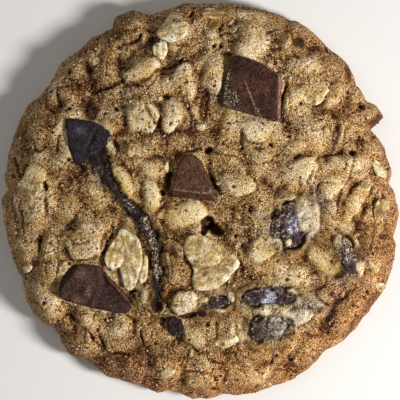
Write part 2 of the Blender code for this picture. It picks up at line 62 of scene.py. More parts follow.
# The rim is browner on one side, towards the lower right: by how much, and that side's angle from +X,
# clockwise, in radians.
BROWNING_LEAN = 0.18
BROWNING_TURN = 0.9

# How a kind of lump is shaped: steepness, squareness, and the height over which it meets others.
MOUND_SHAPE = (1.1, 2.1, 1.3)
LOW_SHAPE = (0.9, 2.2, 0.35)
OAT_SHAPE = (0.95, 2.2, 0.4)
PLATE_SHAPE = (0.6, 2.4, 0.2)

# The edge seen from above: angle from +X in degrees, and millimetres outside the mean radius.
EDGE = (
    (2, -0.5), (5, -1.7), (9, -1.0), (15, -1.3), (20, -2.7), (22.4, -3.3), (24.2, 0.7), (28.5, 0.0),
    (30.5, -0.9), (36, -1.0), (42, 0.3), (50, 0.4), (57, 0.8), (68, 0.9), (80, 0.4), (91, -0.4),
    (94, -0.1), (101, -1.0), (105.5, -1.5), (109.5, 0.7), (115, 0.6), (117, -1.4), (124, -1.1),
    (129, -1.5), (135, -0.7), (139, -1.5), (147.5, -1.9), (151, -0.6), (157, 0.0), (173, -0.3),
    (176.7, -1.4), (180, 0.1), (190, -0.2), (204, -0.8), (210, 0.1), (214, 0.5), (218, 0.2),
    (220.5, -1.2), (223, -0.7), (229, 0.5), (232, 0.4), (234.5, -0.6), (240, 0.2), (252, -0.6),
    (257.5, 0.0), (260.5, -1.2), (263, -1.3), (268, 0.2), (272, 0.3), (277, -0.5), (286, 0.8),
    (289, 0.3), (298, 1.0), (309.5, -0.5), (320, 1.0), (324, 0.7), (332, 1.4), (340, 1.3),
    (347, 0.8), (349, -0.2), (356, 0.4),
)

# Mounds of dough over oats: x, y, length, width, turn in degrees, rise, and how pale they are.
MOUNDS = (
    # Far edge and upper left.
    (-15.6, 39.2, 7.5, 6.0, 10, 1.1, 0.3), (-5.5, 38.0, 6.8, 5.0, 10, 1.5, 0.7),
    (2.4, 36.0, 5.0, 4.5, 0, 0.8, 0.6), (11.4, 35.1, 8.5, 6.2, 80, 1.5, 0.7),
    (9.8, 41.0, 8.5, 2.6, -12, 0.9, 0.5), (19.5, 34.5, 5.5, 3.4, 70, 1.0, 0.6),
    (24.2, 36.7, 5.5, 3.5, -35, 0.9, 0.6), (-22.4, 35.3, 7.5, 5.0, 35, 1.0, 0.4),
    (-18.3, 34.0, 5.5, 4.0, 30, 0.9, 0.4), (-27.3, 30.2, 7.0, 6.5, 40, 1.2, 0.45),
    (-20.6, 29.7, 4.6, 4.6, 0, 1.0, 0.5), (-12.7, 29.5, 8.5, 5.0, 15, 1.2, 0.65),
    (-32.5, 24.5, 9.0, 4.2, 65, 1.2, 0.7), (-28.7, 23.4, 5.5, 4.5, 0, 0.9, 0.3),
    (-11.1, 24.5, 7.5, 5.5, 0, 1.1, 0.4), (-19.7, 25.0, 5.6, 4.4, 20, 0.8, 0.35),
    (-3.7, 26.0, 7.8, 6.3, 80, 1.6, 0.75), (3.3, 28.5, 9.5, 4.6, 80, 1.3, 0.7),
    (-28.0, 19.4, 6.5, 3.2, 5, 0.8, 0.6), (-20.0, 18.9, 7.0, 4.0, -60, 0.9, 0.6),
    (-13.4, 18.9, 8.6, 7.0, 80, 1.7, 0.8), (-7.1, 18.9, 7.0, 5.0, 80, 1.5, 0.85),
    (-2.1, 19.9, 3.8, 3.4, 0, 0.9, 0.6),
    # Left side.
    (-37.5, 19.6, 5.5, 5.0, 0, 0.9, 0.5), (-35.3, 15.0, 6.5, 5.0, 0, 1.0, 0.5),
    (-31.6, 16.0, 6.0, 4.0, 80, 1.1, 0.6), (-35.9, 2.0, 17.0, 7.4, 80, 1.7, 0.7),
    (-30.6, 8.2, 6.5, 5.5, 60, 1.2, 0.6), (-24.6, -8.6, 11.0, 9.0, 20, 1.6, 0.6),
    (-24.0, 1.6, 8.0, 5.5, -50, 1.1, 0.6), (-33.3, -9.6, 5.2, 4.4, 90, 1.0, 0.45),
    (-38.8, -10.0, 6.5, 6.0, 70, 1.0, 0.5), (-34.6, -22.6, 11.0, 7.0, -55, 1.6, 0.6),
    (-33.0, -14.8, 6.0, 4.6, 40, 1.0, 0.45),
    # Middle.
    (13.2, 15.2, 15.0, 6.4, -12, 1.3, 0.75), (-12.8, 11.0, 7.5, 5.5, 10, 1.2, 0.6),
    (-9.4, 6.8, 6.5, 4.2, 60, 1.1, 0.5), (23.9, 14.4, 10.0, 7.0, 10, 1.3, 0.8),
    (22.2, 6.1, 9.6, 7.4, 20, 1.4, 0.8), (8.5, 3.4, 9.0, 7.6, 10, 1.4, 0.8),
    (13.4, -1.6, 8.0, 6.0, 80, 1.0, 0.5), (6.4, 9.4, 7.0, 5.0, -20, 1.0, 0.35),
    (13.4, 8.6, 7.0, 5.2, 15, 1.1, 0.5), (13.0, -11.0, 8.6, 6.8, 25, 1.4, 0.85),
    (7.6, -8.0, 6.0, 4.6, 60, 0.8, 0.3), (-3.0, -10.6, 7.6, 5.6, 10, 1.1, 0.5),
    (-3.2, -22.2, 6.6, 6.0, 0, 1.4, 0.9), (-5.4, -16.6, 5.4, 4.6, 60, 0.9, 0.6),
    # Right side.
    (23.7, 29.7, 9.0, 5.4, 0, 1.2, 0.65), (20.8, 23.2, 5.0, 4.0, 60, 1.0, 0.8),
    (22.6, 19.8, 6.0, 3.6, 0, 0.9, 0.75), (31.4, 24.7, 6.6, 4.6, 70, 1.0, 0.7),
    (30.7, 30.0, 6.6, 5.0, -40, 0.9, 0.5), (35.0, 23.8, 5.0, 3.2, -45, 0.8, 0.7),
    (38.6, 19.0, 5.2, 4.6, 30, 1.1, 0.5), (33.4, 16.4, 8.0, 6.0, 40, 1.1, 0.55),
    (32.3, 7.6, 10.5, 3.8, 18, 1.3, 0.75), (29.4, 3.2, 7.0, 4.6, 25, 1.2, 0.75),
    (38.4, 11.4, 6.6, 5.0, 60, 0.9, 0.5), (28.8, -3.6, 6.6, 3.8, 60, 1.0, 0.55),
    (39.0, -14.0, 8.0, 7.4, 70, 1.1, 0.6), (38.0, -8.6, 4.6, 4.4, 0, 0.8, 0.4),
    (38.8, -19.0, 5.0, 4.4, -50, 1.0, 0.75),
    # Near edge.
    (20.0, -17.2, 9.0, 6.2, 20, 1.1, 0.7), (22.6, -26.4, 13.0, 5.8, 38, 1.4, 0.65),
    (33.5, -25.0, 14.0, 6.4, 50, 1.0, 0.35), (23.7, -34.2, 8.6, 6.6, 35, 1.0, 0.4),
    (11.5, -38.4, 12.0, 6.6, 5, 1.1, 0.6), (8.2, -28.0, 8.0, 6.0, 80, 1.1, 0.75),
    (15.8, -34.4, 8.0, 4.4, 20, 0.9, 0.5), (0.8, -37.4, 10.0, 9.0, 0, 1.3, 0.55),
    (-2.1, -30.8, 4.2, 3.6, 20, 0.9, 0.7), (-7.8, -37.0, 8.6, 6.8, 85, 1.2, 0.6),
    (2.0, -28.8, 6.4, 4.6, 0, 0.8, 0.45), (-12.0, -29.6, 6.6, 6.0, 0, 1.1, 0.5),
    (-18.3, -30.2, 8.0, 7.4, 75, 1.5, 0.65), (-25.8, -32.0, 9.0, 8.0, 40, 1.3, 0.5),
    (-24.8, -27.0, 8.0, 4.4, -35, 1.0, 0.6), (-15.4, -38.0, 8.0, 5.4, -20, 0.9, 0.4),
    (-12.6, -20.4, 5.0, 3.2, 80, 0.9, 0.8),
)

# Hollows: x, y, length, width, turn in degrees, depth. The first is the deep hole.
HOLLOWS = (
    (1.5, -5.3, 3.6, 3.0, 40, 2.6), (3.2, -6.6, 3.9, 3.0, -30, 2.4), (0.9, -7.0, 2.0, 2.2, 0, 1.8),
    (1.9, 10.6, 1.7, 1.5, 0, 1.1), (-8.7, 1.4, 1.4, 1.3, 0, 1.4),
    (36.0, 20.8, 2.2, 2.8, 0, 2.2), (33.6, 10.4, 1.4, 1.5, 0, 1.2), (-33.9, 3.2, 1.1, 2.2, -10, 1.5),
    (16.1, 11.9, 1.1, 1.2, 0, 0.9), (-29.1, 28.4, 1.2, 1.1, 0, 0.9), (-29.1, -6.3, 1.5, 1.0, 30, 1.0),
    (-7.8, 23.0, 1.6, 0.9, 0, 1.0), (-4.4, 31.3, 1.8, 0.9, 20, 0.8), (-2.1, 41.4, 1.2, 1.4, 0, 0.9),
    (11.4, -2.7, 1.6, 1.8, 0, 0.7), (4.8, -13.3, 0.8, 2.2, 10, 0.9), (21.9, 9.9, 1.6, 1.3, 0, 0.8),
    (3.0, -42.3, 1.8, 1.0, -20, 1.0), (-2.4, -43.2, 2.8, 0.8, 10, 0.8), (12.7, -41.2, 0.9, 0.8, 0, 0.7),
    (7.3, -24.1, 0.8, 1.1, 0, 0.9), (-25.2, 29.6, 4.0, 2.4, -60, 0.6), (1.4, 21.4, 7.4, 2.6, 88, 0.7),
    (30.6, 15.0, 7.4, 1.7, 85, 0.6), (-21.3, -9.8, 5.6, 1.8, 85, 0.9), (-1.2, -25.8, 9.0, 1.3, -2, 0.9),
    (10.0, -9.3, 5.4, 3.2, 70, 0.5),
)

# Cracks and deep creases between mounds: both ends, width, depth.
CREASES = (
    (-17.9, 33.5, -13.2, 36.6, 0.9, 0.9), (-31.4, 25.7, -30.9, 20.6, 0.8, 0.8),
    (4.8, 39.2, 4.6, 36.0, 0.8, 0.8), (12.0, 11.0, 14.2, 11.1, 0.5, 0.7),
    (-35.7, -6.8, -35.6, -12.0, 0.8, 0.9), (40.2, -7.9, 43.8, -7.9, 0.7, 1.0),
    (-42.4, 9.4, -40.2, 5.0, 0.9, 1.0), (38.6, 3.6, 35.0, -6.6, 1.5, 1.1),
    (-15.8, 8.9, -7.6, 9.9, 0.9, 0.7), (-29.8, -25.2, -26.6, -27.4, 1.2, 0.9),
    (-26.0, -28.6, -22.2, -32.2, 1.0, 0.9), (-22.4, -29.4, -20.2, -34.0, 1.0, 1.0),
    (-19.8, -34.2, -15.4, -34.0, 1.0, 0.9), (-13.0, -26.8, -12.4, -32.4, 0.8, 0.7),
    (0.0, -35.0, 6.0, -36.4, 1.0, 0.6), (5.8, -36.6, 5.0, -41.0, 1.1, 0.8),
    (11.4, -38.0, 15.8, -35.6, 1.2, 0.7), (20.6, -33.4, 18.0, -41.0, 1.3, 0.8),
    (30.8, -20.6, 27.4, -29.4, 1.5, 0.8), (33.0, -20.4, 30.6, -22.4, 1.0, 0.8),
    (16.6, -32.6, 28.6, -22.6, 0.9, 0.8), (-34.0, -3.4, -34.2, 2.0, 0.7, 0.8),
    (26.4, 8.6, 24.4, 1.6, 0.8, 0.6), (32.0, 3.6, 29.6, -3.6, 1.0, 0.8),
    (-13.0, 21.8, -10.2, 15.6, 0.6, 0.6), (-4.6, 24.0, -0.4, 17.0, 1.6, 0.7),
    (-19.6, -4.8, -20.8, -13.0, 0.9, 0.9), (40.6, 2.0, 42.8, -1.6, 0.6, 0.7),
    (7.0, -18.0, 8.6, -12.8, 0.9, 0.6), (-3.6, -12.6, 0.2, -19.6, 1.0, 0.7),
    (-39.6, -0.8, -39.0, -7.2, 0.7, 0.7), (24.0, 0.0, 27.4, -8.6, 0.9, 0.6),
    (-23.6, 24.4, -14.8, 27.2, 0.9, 0.7), (-10.0, 28.0, -3.6, 31.6, 0.9, 0.7),
    # The gaps beside the chunks.
    (-5.9, 8.6, -7.3, 0.9, 1.5, 1.5), (1.6, 6.5, 4.4, 1.6, 1.4, 1.5), (-4.0, 10.9, 0.1, 11.0, 1.0, 0.7),
    (-9.2, -6.4, -7.6, -12.4, 1.1, 1.2), (18.6, 27.4, 18.3, 17.3, 1.0, 1.4),
    (-19.5, 14.0, -17.4, 9.9, 1.0, 1.5),
)

# Chocolate: corners of each chunk's top, anticlockwise, how far it stands over the plain crown, and
# how much it climbs per millimetre along x and y.
CHUNK_DEPTH = 6.0
CHUNK_FLARE = 0.4
CHUNKS = {
    "chocolate_chunk_upper_right": (
        ((5.0, 20.4), (10.2, 19.0), (14.0, 17.9), (17.8, 16.9), (18.2, 27.3), (14.6, 30.3),
         (7.3, 32.3), (5.9, 28.8), (5.0, 25.0)),
        1.8, 0.03, 0.02,
    ),
    "chocolate_chunk_left": (
        ((-28.2, 8.8), (-27.2, 7.6), (-24.6, 9.2), (-19.9, 13.0), (-19.5, 13.9), (-20.6, 15.4),
         (-22.6, 17.0), (-25.0, 17.7), (-29.6, 18.0), (-29.3, 13.0)),
        1.2, 0.05, 0.03,
    ),
    "chocolate_chunk_lower_left": (
        ((-30.2, -22.9), (-25.3, -23.8), (-18.2, -25.9), (-15.4, -25.0), (-15.0, -22.1),
         (-20.9, -15.9), (-22.0, -14.6), (-28.0, -14.3), (-30.5, -16.7), (-31.7, -20.3)),
        1.6, 0.03, 0.0,
    ),
    "chocolate_chunk_small": (
        ((-7.3, -28.8), (-6.0, -30.2), (-4.4, -30.8), (-3.7, -28.4), (-4.2, -26.6), (-6.2, -25.9),
         (-7.3, -27.2)),
        0.8, 0.03, 0.03,
    ),
    "chocolate_chunk_centre": (
        ((-6.5, 0.8), (3.7, -0.3), (1.8, 5.4), (0.0, 9.0), (-1.6, 10.1), (-3.2, 10.1), (-4.6, 8.5),
         (-5.6, 5.2)),
        2.0, 0.0, -0.05,
    ),
}

# Bevels and breaks on the chunks: a line, how steeply the top falls away to the right of it, how far the
# fall runs, and how pale it is. The paleness is painted light: a painted highlight on the upper right
# chunk's bevels, and painted shade on the darker faces of the others.
CUTS = {
    "chocolate_chunk_upper_right": (
        (17.0, 16.6, 17.2, 27.0, 0.8, 1.5, 0.75), (17.2, 27.4, 13.8, 29.8, 0.8, 1.2, 0.55),
    ),
    "chocolate_chunk_left": ((-26.4, 7.6, -19.6, 13.2, 0.6, 1.1, -0.25),),
    "chocolate_chunk_lower_left": (
        (-25.8, -23.8, -21.9, -16.6, 0.08, 2.0, -0.42), (-26.4, -14.0, -30.9, -20.0, 0.9, 1.4, -0.5),
    ),
    "chocolate_chunk_centre": ((-6.9, 2.3, 3.2, 1.1, 0.9, 2.4, -0.45),),
    "chocolate_chunk_small": (),
}

# Scratches and folds on the chunks: both ends, width, height, and how pale the line is. The upper right
# chunk's lines are scratches; the paler left face and the pale strip along the raised edge of the lower
# left chunk, the pale upper left of the left chunk and the pale line along the centre chunk's front edge
# are painted highlights.
MARKS = {
    "chocolate_chunk_upper_right": (
        (9.6, 27.0, 11.6, 22.0, 0.45, 0.16, 0.9), (10.9, 23.6, 13.2, 18.0, 0.8, 0.2, 0.95),
        (6.0, 24.0, 10.4, 19.4, 0.7, 0.12, 0.45), (14.2, 24.6, 15.0, 21.0, 0.8, 0.06, 0.35),
    ),
    "chocolate_chunk_left": (
        (-28.4, 16.2, -25.4, 15.0, 2.4, 0.2, 0.8), (-22.6, 16.4, -25.8, 10.2, 0.8, -0.25, 0.0),
    ),
    "chocolate_chunk_lower_left": (
        (-21.9, -15.4, -20.9, -19.4, 1.3, -0.5, 0.0), (-28.0, -17.0, -24.6, -16.0, 2.6, 0.2, 0.7),
        (-28.8, -21.2, -25.8, -22.6, 1.8, 0.14, 0.7), (-24.6, -18.6, -25.4, -21.4, 1.4, 0.2, 0.8),
        (-21.4, -16.4, -15.6, -22.6, 1.0, 0.5, 1.1),
    ),
    "chocolate_chunk_centre": (
        (-5.8, 2.3, 2.9, 1.3, 0.5, 0.14, 1.0), (-1.0, 9.2, 2.2, 3.6, 0.5, 0.08, 0.4),
    ),
    "chocolate_chunk_small": ((-6.6, -27.0, -4.6, -29.6, 0.5, -0.2, 0.0),),
}

# Pools of half-sunk chocolate: x, y, length, width, turn in degrees, how far they stand over the crown.
POOL_DEPTH = 4.2
POOLS = {
    "chocolate_pool_middle_right": (20.4, -5.6, 12.2, 9.4, 50, 1.1),
    "chocolate_pool_right": (32.5, -12.2, 10.4, 4.8, -72, 0.7),
    "chocolate_pool_lower_right": (15.5, -28.4, 9.4, 7.2, 15, 0.9),
    "chocolate_pool_glossy": (15.2, -21.5, 13.2, 4.4, 3, 1.1),
    "chocolate_pool_lower_middle": (4.0, -22.8, 7.4, 3.6, 18, 0.7),
}

# Dough that lies over the pools' chocolate: x, y, length, width, turn in degrees, how much.
COVERED = (
    (23.8, -3.6, 8.4, 7.6, -60, 1.0), (26.4, -1.2, 6.0, 3.4, 0, 1.0), (16.4, -10.0, 4.4, 4.2, 0, 1.0),
    (19.4, -9.0, 2.4, 2.0, 30, 0.9), (15.0, -1.6, 3.0, 4.0, 0, 1.0), (19.6, 0.4, 4.0, 2.0, 0, 0.8),
    (35.2, -8.6, 2.4, 3.4, 0, 1.0), (35.6, -15.4, 3.2, 4.8, 20, 1.0), (30.6, -8.8, 2.4, 3.6, 0, 1.0),
    (15.4, -23.4, 4.2, 1.6, 0, 1.0), (21.6, -22.6, 3.0, 2.6, 0, 1.0), (19.6, -19.8, 2.6, 1.4, 0, 0.9),
    (19.4, -25.6, 4.6, 2.4, -20, 1.0), (14.4, -25.0, 3.6, 1.6, 0, 0.8), (19.8, -30.8, 3.6, 2.0, 30, 0.8),
    (21.8, -27.6, 3.6, 6.0, 30, 1.0), (6.8, -21.8, 2.4, 2.0, 0, 1.0), (1.2, -22.0, 1.8, 2.0, 0, 0.8),
    (4.2, -24.6, 3.0, 1.2, 0, 0.9),
)

# Where the pools' chocolate lies open up to its edge, laid out in the same way.
OPEN = (
    (12.2, -28.6, 4.4, 8.0, 0, 1.0), (12.2, -21.3, 5.6, 4.4, 0, 1.0), (17.0, -5.0, 3.4, 6.4, 0, 1.0),
    (21.2, -9.2, 4.4, 4.0, 0, 1.0), (19.4, -0.8, 3.6, 2.8, 0, 1.0), (32.2, -10.8, 3.0, 6.4, 0, 0.8),
    (34.4, -14.6, 4.0, 4.0, 0, 0.8), (4.4, -22.6, 6.4, 3.0, 10, 0.8),
)

# The melted streak: its middle line and its width at each point.
STREAK = (
    (-24.8, 12.2, 6.0), (-22.8, 9.6, 5.6), (-21.4, 6.2, 4.6), (-19.4, 2.8, 3.0), (-16.6, -0.6, 2.8),
    (-13.4, -4.0, 4.0),
    (-11.2, -7.6, 4.4), (-10.0, -11.2, 3.6), (-9.4, -14.8, 3.8), (-9.4, -18.4, 3.4),
    (-9.6, -23.4, 2.2),
)
STREAK_THICKNESS = 2.4
STREAK_PROUD = 0.3
STREAK_RUN = 1.25
STREAK_LENGTH = 39.0
STREAK_STEPS = 150
RIDGE_STRETCH = 5.0

# Chocolate rubbed into the dough, and painted shadow in the gaps beside the centre chunk: x, y, length,
# width, turn in degrees, strength.
SMEARS_AND_GAP_SHADOWS = (
    (-23.9, 20.0, 6.0, 2.6, 88, 1.0), (22.0, 34.8, 2.6, 3.0, 0, 0.9), (25.4, 33.6, 5.0, 1.4, -5, 0.8),
    (32.9, 28.4, 4.6, 1.6, 110, 0.75), (38.8, 17.4, 4.2, 2.6, 20, 0.75), (-5.4, -10.9, 2.0, 4.4, 15, 0.7),
    (34.2, 20.4, 3.6, 2.4, 0, 0.35), (5.6, 21.6, 4.6, 3.6, 40, 0.7), (-2.8, 18.8, 3.4, 2.4, 0, 0.35),
    (-24.6, 8.0, 9.0, 4.0, -10, 0.8), (-21.4, 3.4, 3.4, 3.4, 0, 0.6), (-13.0, -20.0, 5.6, 2.4, 75, 0.35),
    (-15.0, -24.0, 3.0, 4.4, 0, 0.5), (11.0, -28.6, 3.6, 6.6, 10, 0.7), (18.0, -29.6, 10.0, 6.0, 30, 0.62),
    (17.6, -21.6, 11.0, 4.6, 0, 0.6), (4.4, -23.2, 8.6, 3.4, 12, 0.5), (25.6, -2.6, 5.0, 7.0, 20, 0.35),
    (18.0, -10.6, 8.0, 3.6, -10, 0.6), (14.8, -4.0, 3.6, 5.2, 0, 0.5), (31.2, -16.2, 5.4, 2.0, 20, 1.0),
    (31.6, -10.0, 4.0, 6.0, 0, 0.7), (26.0, -23.8, 3.0, 2.0, 0, 0.7), (3.6, 1.2, 1.8, 3.4, 0, 0.5),
    # These three paint shadow into the gaps left of, right of and above the centre chunk.
    (-6.8, 4.6, 9.4, 2.2, 82, 0.5), (3.0, 4.0, 6.5, 1.8, -62, 0.7), (-1.6, 10.9, 4.4, 1.4, 0, 0.5),
    (-13.6, 34.0, 2.0, 3.6, -20, 0.5),
    (-36.0, 12.0, 2.0, 6.0, 80, 0.15), (7.4, -17.0, 2.0, 4.0, 0, 0.15), (-7.8, -7.8, 2.4, 2.2, 0, 0.9),
)

# Paler and browner stretches of crumb: x, y, length, width, turn in degrees, how much paler. They hold the
# crumb's own tone and also painted light: paler where lumps are painted as lit, browner where shade is
# painted in dark valleys.
TONE_AND_PAINTED_LIGHT = (
    (28.0, 3.4, 13.0, 15.0, 0, 0.5), (15.0, -7.4, 8.0, 13.0, 0, 0.45), (15.8, -17.0, 6.0, 4.0, 0, 0.5),
    (19.8, -28.0, 12.0, 7.0, 35, 0.5), (10.4, 13.0, 8.0, 6.0, 0, 0.4), (-9.4, 26.0, 6.0, 14.0, 0, 0.4),
    (0.0, 35.0, 6.0, 12.0, 0, 0.4), (13.0, 40.0, 9.0, 5.0, 0, 0.4), (-12.6, 14.8, 6.0, 5.0, 0, 0.4),
    (-11.4, 4.6, 5.0, 6.0, 0, 0.5), (-41.0, -2.0, 7.0, 26.0, 0, 0.5), (-30.0, -10.0, 18.0, 9.0, 10, 0.3),
    (-36.0, 26.0, 6.0, 16.0, -45, 0.4), (36.0, -2.0, 12.0, 12.0, 60, 0.25), (1.2, -20.6, 9.0, 4.0, 0, 0.4),
    (-7.6, 41.0, 12.0, 5.0, 10, 0.35), (38.6, 14.0, 5.0, 9.0, 0, 0.2),
    (26.0, -0.2, 8.0, 6.0, 0, 0.4), (9.8, -0.2, 4.0, 5.0, 0, 0.4), (12.5, 12.2, 6.0, 4.0, 0, 0.4),
    (3.5, 12.2, 3.5, 4.0, 0, 0.4), (-12.7, 5.4, 4.0, 6.0, 0, 0.5), (-6.6, 20.0, 3.0, 9.0, 0, 0.4),
    (-6.2, 7.6, 2.5, 7.0, 0, 0.5), (-33.6, 7.6, 5.0, 8.0, 0, 0.4), (-38.0, 3.2, 5.0, 7.0, 0, 0.35),
    (24.9, 24.5, 7.0, 7.0, 0, 0.35), (4.6, -42.0, 12.0, 4.0, 0, 0.4), (22.6, 7.6, 10.0, 6.0, 0, 0.3),
    (14.7, -16.0, 5.0, 4.0, 0, 0.5), (32.7, -16.0, 4.0, 4.0, 0, 0.3), (22.6, -17.0, 5.0, 5.0, 0, 0.35),
    (-12.4, -23.0, 2.5, 8.0, 0, 0.5), (18.6, -27.0, 9.0, 9.0, 0, 0.5), (4.0, -14.6, 8.0, 9.0, 0, 0.35),
    (-8.0, -3.0, 2.5, 13.0, 0, -0.5), (-13.4, -17.5, 3.0, 12.0, 0, -0.5), (9.6, 13.9, 5.0, 3.0, 0, -0.3),
    (27.6, -7.0, 4.0, 5.0, 0, -0.3), (-13.5, -37.0, 7.0, 7.0, 0, -0.4), (-1.0, -25.0, 6.0, 3.0, 0, -0.4),
    (29.4, -27.3, 6.0, 8.0, 0, -0.3), (-11.0, 30.0, 4.0, 5.0, 0, -0.4), (-13.5, 38.0, 4.0, 5.0, 0, -0.4),
    (1.2, 31.0, 3.0, 8.0, 0, -0.4), (19.0, 31.0, 4.0, 4.0, 0, -0.3), (-27.0, 7.6, 5.0, 6.0, 0, -0.4),
    (-17.0, 17.8, 3.0, 5.0, 0, -0.3), (37.0, 14.4, 4.0, 4.0, 0, -0.3), (31.8, -1.8, 3.0, 6.0, 0, -0.4),
    (0.6, 14.2, 7.0, 7.0, 0, -0.6), (-17.6, 17.0, 5.0, 4.0, 0, -0.6), (-23.4, 27.0, 7.0, 7.0, 0, -0.6),
    (-29.0, 6.8, 8.0, 8.0, -30, -0.5), (-12.0, -11.0, 4.6, 16.0, 0, -0.5),
    (-12.0, -30.0, 8.0, 10.0, 0, -0.5),
    (-18.0, -33.6, 7.0, 8.0, 0, -0.5), (36.4, -12.0, 9.0, 10.0, 0, -0.6), (0.6, -24.2, 5.0, 4.0, 0, -0.5),
    (15.4, 17.6, 5.0, 3.0, 0, -0.4), (-34.0, 15.4, 8.0, 7.0, 0, -0.4), (-4.6, 4.0, 3.6, 8.0, 0, -0.6),
    (9.4, -2.0, 6.0, 10.0, -40, -0.5), (32.4, 24.0, 4.0, 12.0, 0, -0.3), (3.4, 24.0, 4.0, 9.0, 0, -0.5),
    (-6.6, -36.0, 4.0, 8.0, 0, -0.4), (4.6, -36.0, 4.0, 6.0, 0, -0.4), (42.0, 12.0, 3.0, 14.0, 10, -0.4),
    (27.6, 1.6, 6.0, 5.0, 30, 0.4), (15.0, -9.2, 4.5, 4.5, 0, 0.45), (32.2, -8.0, 3.4, 5.0, -20, 0.4),
    (-14.0, 23.4, 4.0, 4.4, 0, 0.35), (-6.6, 28.6, 4.0, 4.0, 0, 0.3), (1.8, 29.6, 3.4, 3.4, 0, 0.35),
    (10.8, 36.2, 3.6, 3.6, 0, 0.3), (-6.6, 18.9, 2.6, 6.0, 0, 0.3), (-13.8, 12.6, 3.6, 3.6, 0, 0.3),
    (-11.0, 29.0, 3.6, 4.0, 0, -0.4), (10.2, -7.6, 3.0, 4.0, 0, -0.35), (17.4, 16.0, 6.0, 3.0, 0, -0.35),
    (24.6, -16.6, 5.0, 3.0, 0, -0.3), (-13.0, -19.0, 2.6, 8.0, 0, -0.35),
    (-5.5, -32.5, 11.0, 6.0, 0, -0.25), (26.6, -25.6, 6.0, 6.0, 0, -0.35),
    (21.8, -3.6, 6.0, 5.0, 0, 0.5), (35.4, -16.6, 4.0, 5.0, 20, 0.6),
    (13.8, -7.0, 4.0, 8.0, 0, 0.5), (25.8, 2.4, 7.0, 4.6, 0, 0.45), (28.9, -9.2, 3.2, 6.0, 0, 0.5),
    (11.6, 11.7, 6.0, 3.6, 0, 0.4), (-14.2, 5.6, 5.0, 4.4, 0, 0.5), (-16.0, 13.6, 5.0, 5.0, 0, 0.4),
    (-8.0, 19.6, 3.0, 8.0, 0, 0.4), (0.6, 29.8, 4.0, 5.0, -20, 0.4), (-16.3, 31.3, 5.0, 4.0, 0, 0.35),
    (10.7, 37.8, 4.6, 4.6, 0, 0.4), (14.7, -31.8, 9.0, 3.6, 30, 0.4), (-15.0, -26.8, 4.0, 6.0, 0, 0.4),
    (22.4, -4.0, 4.6, 4.6, 0, 0.45), (-10.6, 13.2, 4.0, 6.0, 0, -0.5), (-18.8, 14.6, 2.4, 5.0, 0, -0.5),
    (8.2, -6.6, 3.4, 6.0, 0, -0.4), (-6.6, -16.4, 3.6, 7.0, 0, -0.4), (39.0, -21.0, 5.0, 8.0, -35, -0.35),
    (-21.6, -13.4, 5.0, 4.0, 0, -0.5), (-28.9, 20.7, 3.0, 6.0, 0, -0.4), (-1.9, 39.0, 4.0, 6.0, -30, -0.4),
)

# Where the crumb is greyed by sugar and grease, and by painted sheen beside the glossy pools: x, y,
# length, width, turn in degrees, strength.
ASHEN_AND_SHEEN = (
    (22.5, -5.4, 9.0, 8.0, 0, 1.0), (16.3, -8.0, 5.0, 6.0, 0, 0.6), (20.8, -25.3, 17.5, 7.5, 30, 1.0),
    (15.4, -23.6, 7.0, 5.0, 0, 0.8), (-12.9, -22.7, 3.4, 9.0, 0, 0.8), (-3.7, -23.2, 6.0, 5.0, 0, 0.7),
    (32.7, -17.1, 8.0, 4.0, 40, 0.8), (0.0, -8.0, 6.0, 3.4, 0, 0.5), (26.2, -0.9, 6.6, 6.4, 0, 0.7),
    (4.0, 23.0, 4.6, 9.0, 0, 0.6), (-16.8, 24.5, 5.0, 5.6, 0, 0.6), (40.0, -2.0, 6.0, 9.0, 0, 0.3),
    (-38.0, -18.0, 6.0, 6.0, 0, 0.4), (-22.0, 4.6, 4.0, 3.0, 0, 0.6), (4.6, 1.0, 3.0, 3.0, 0, 0.7),
)

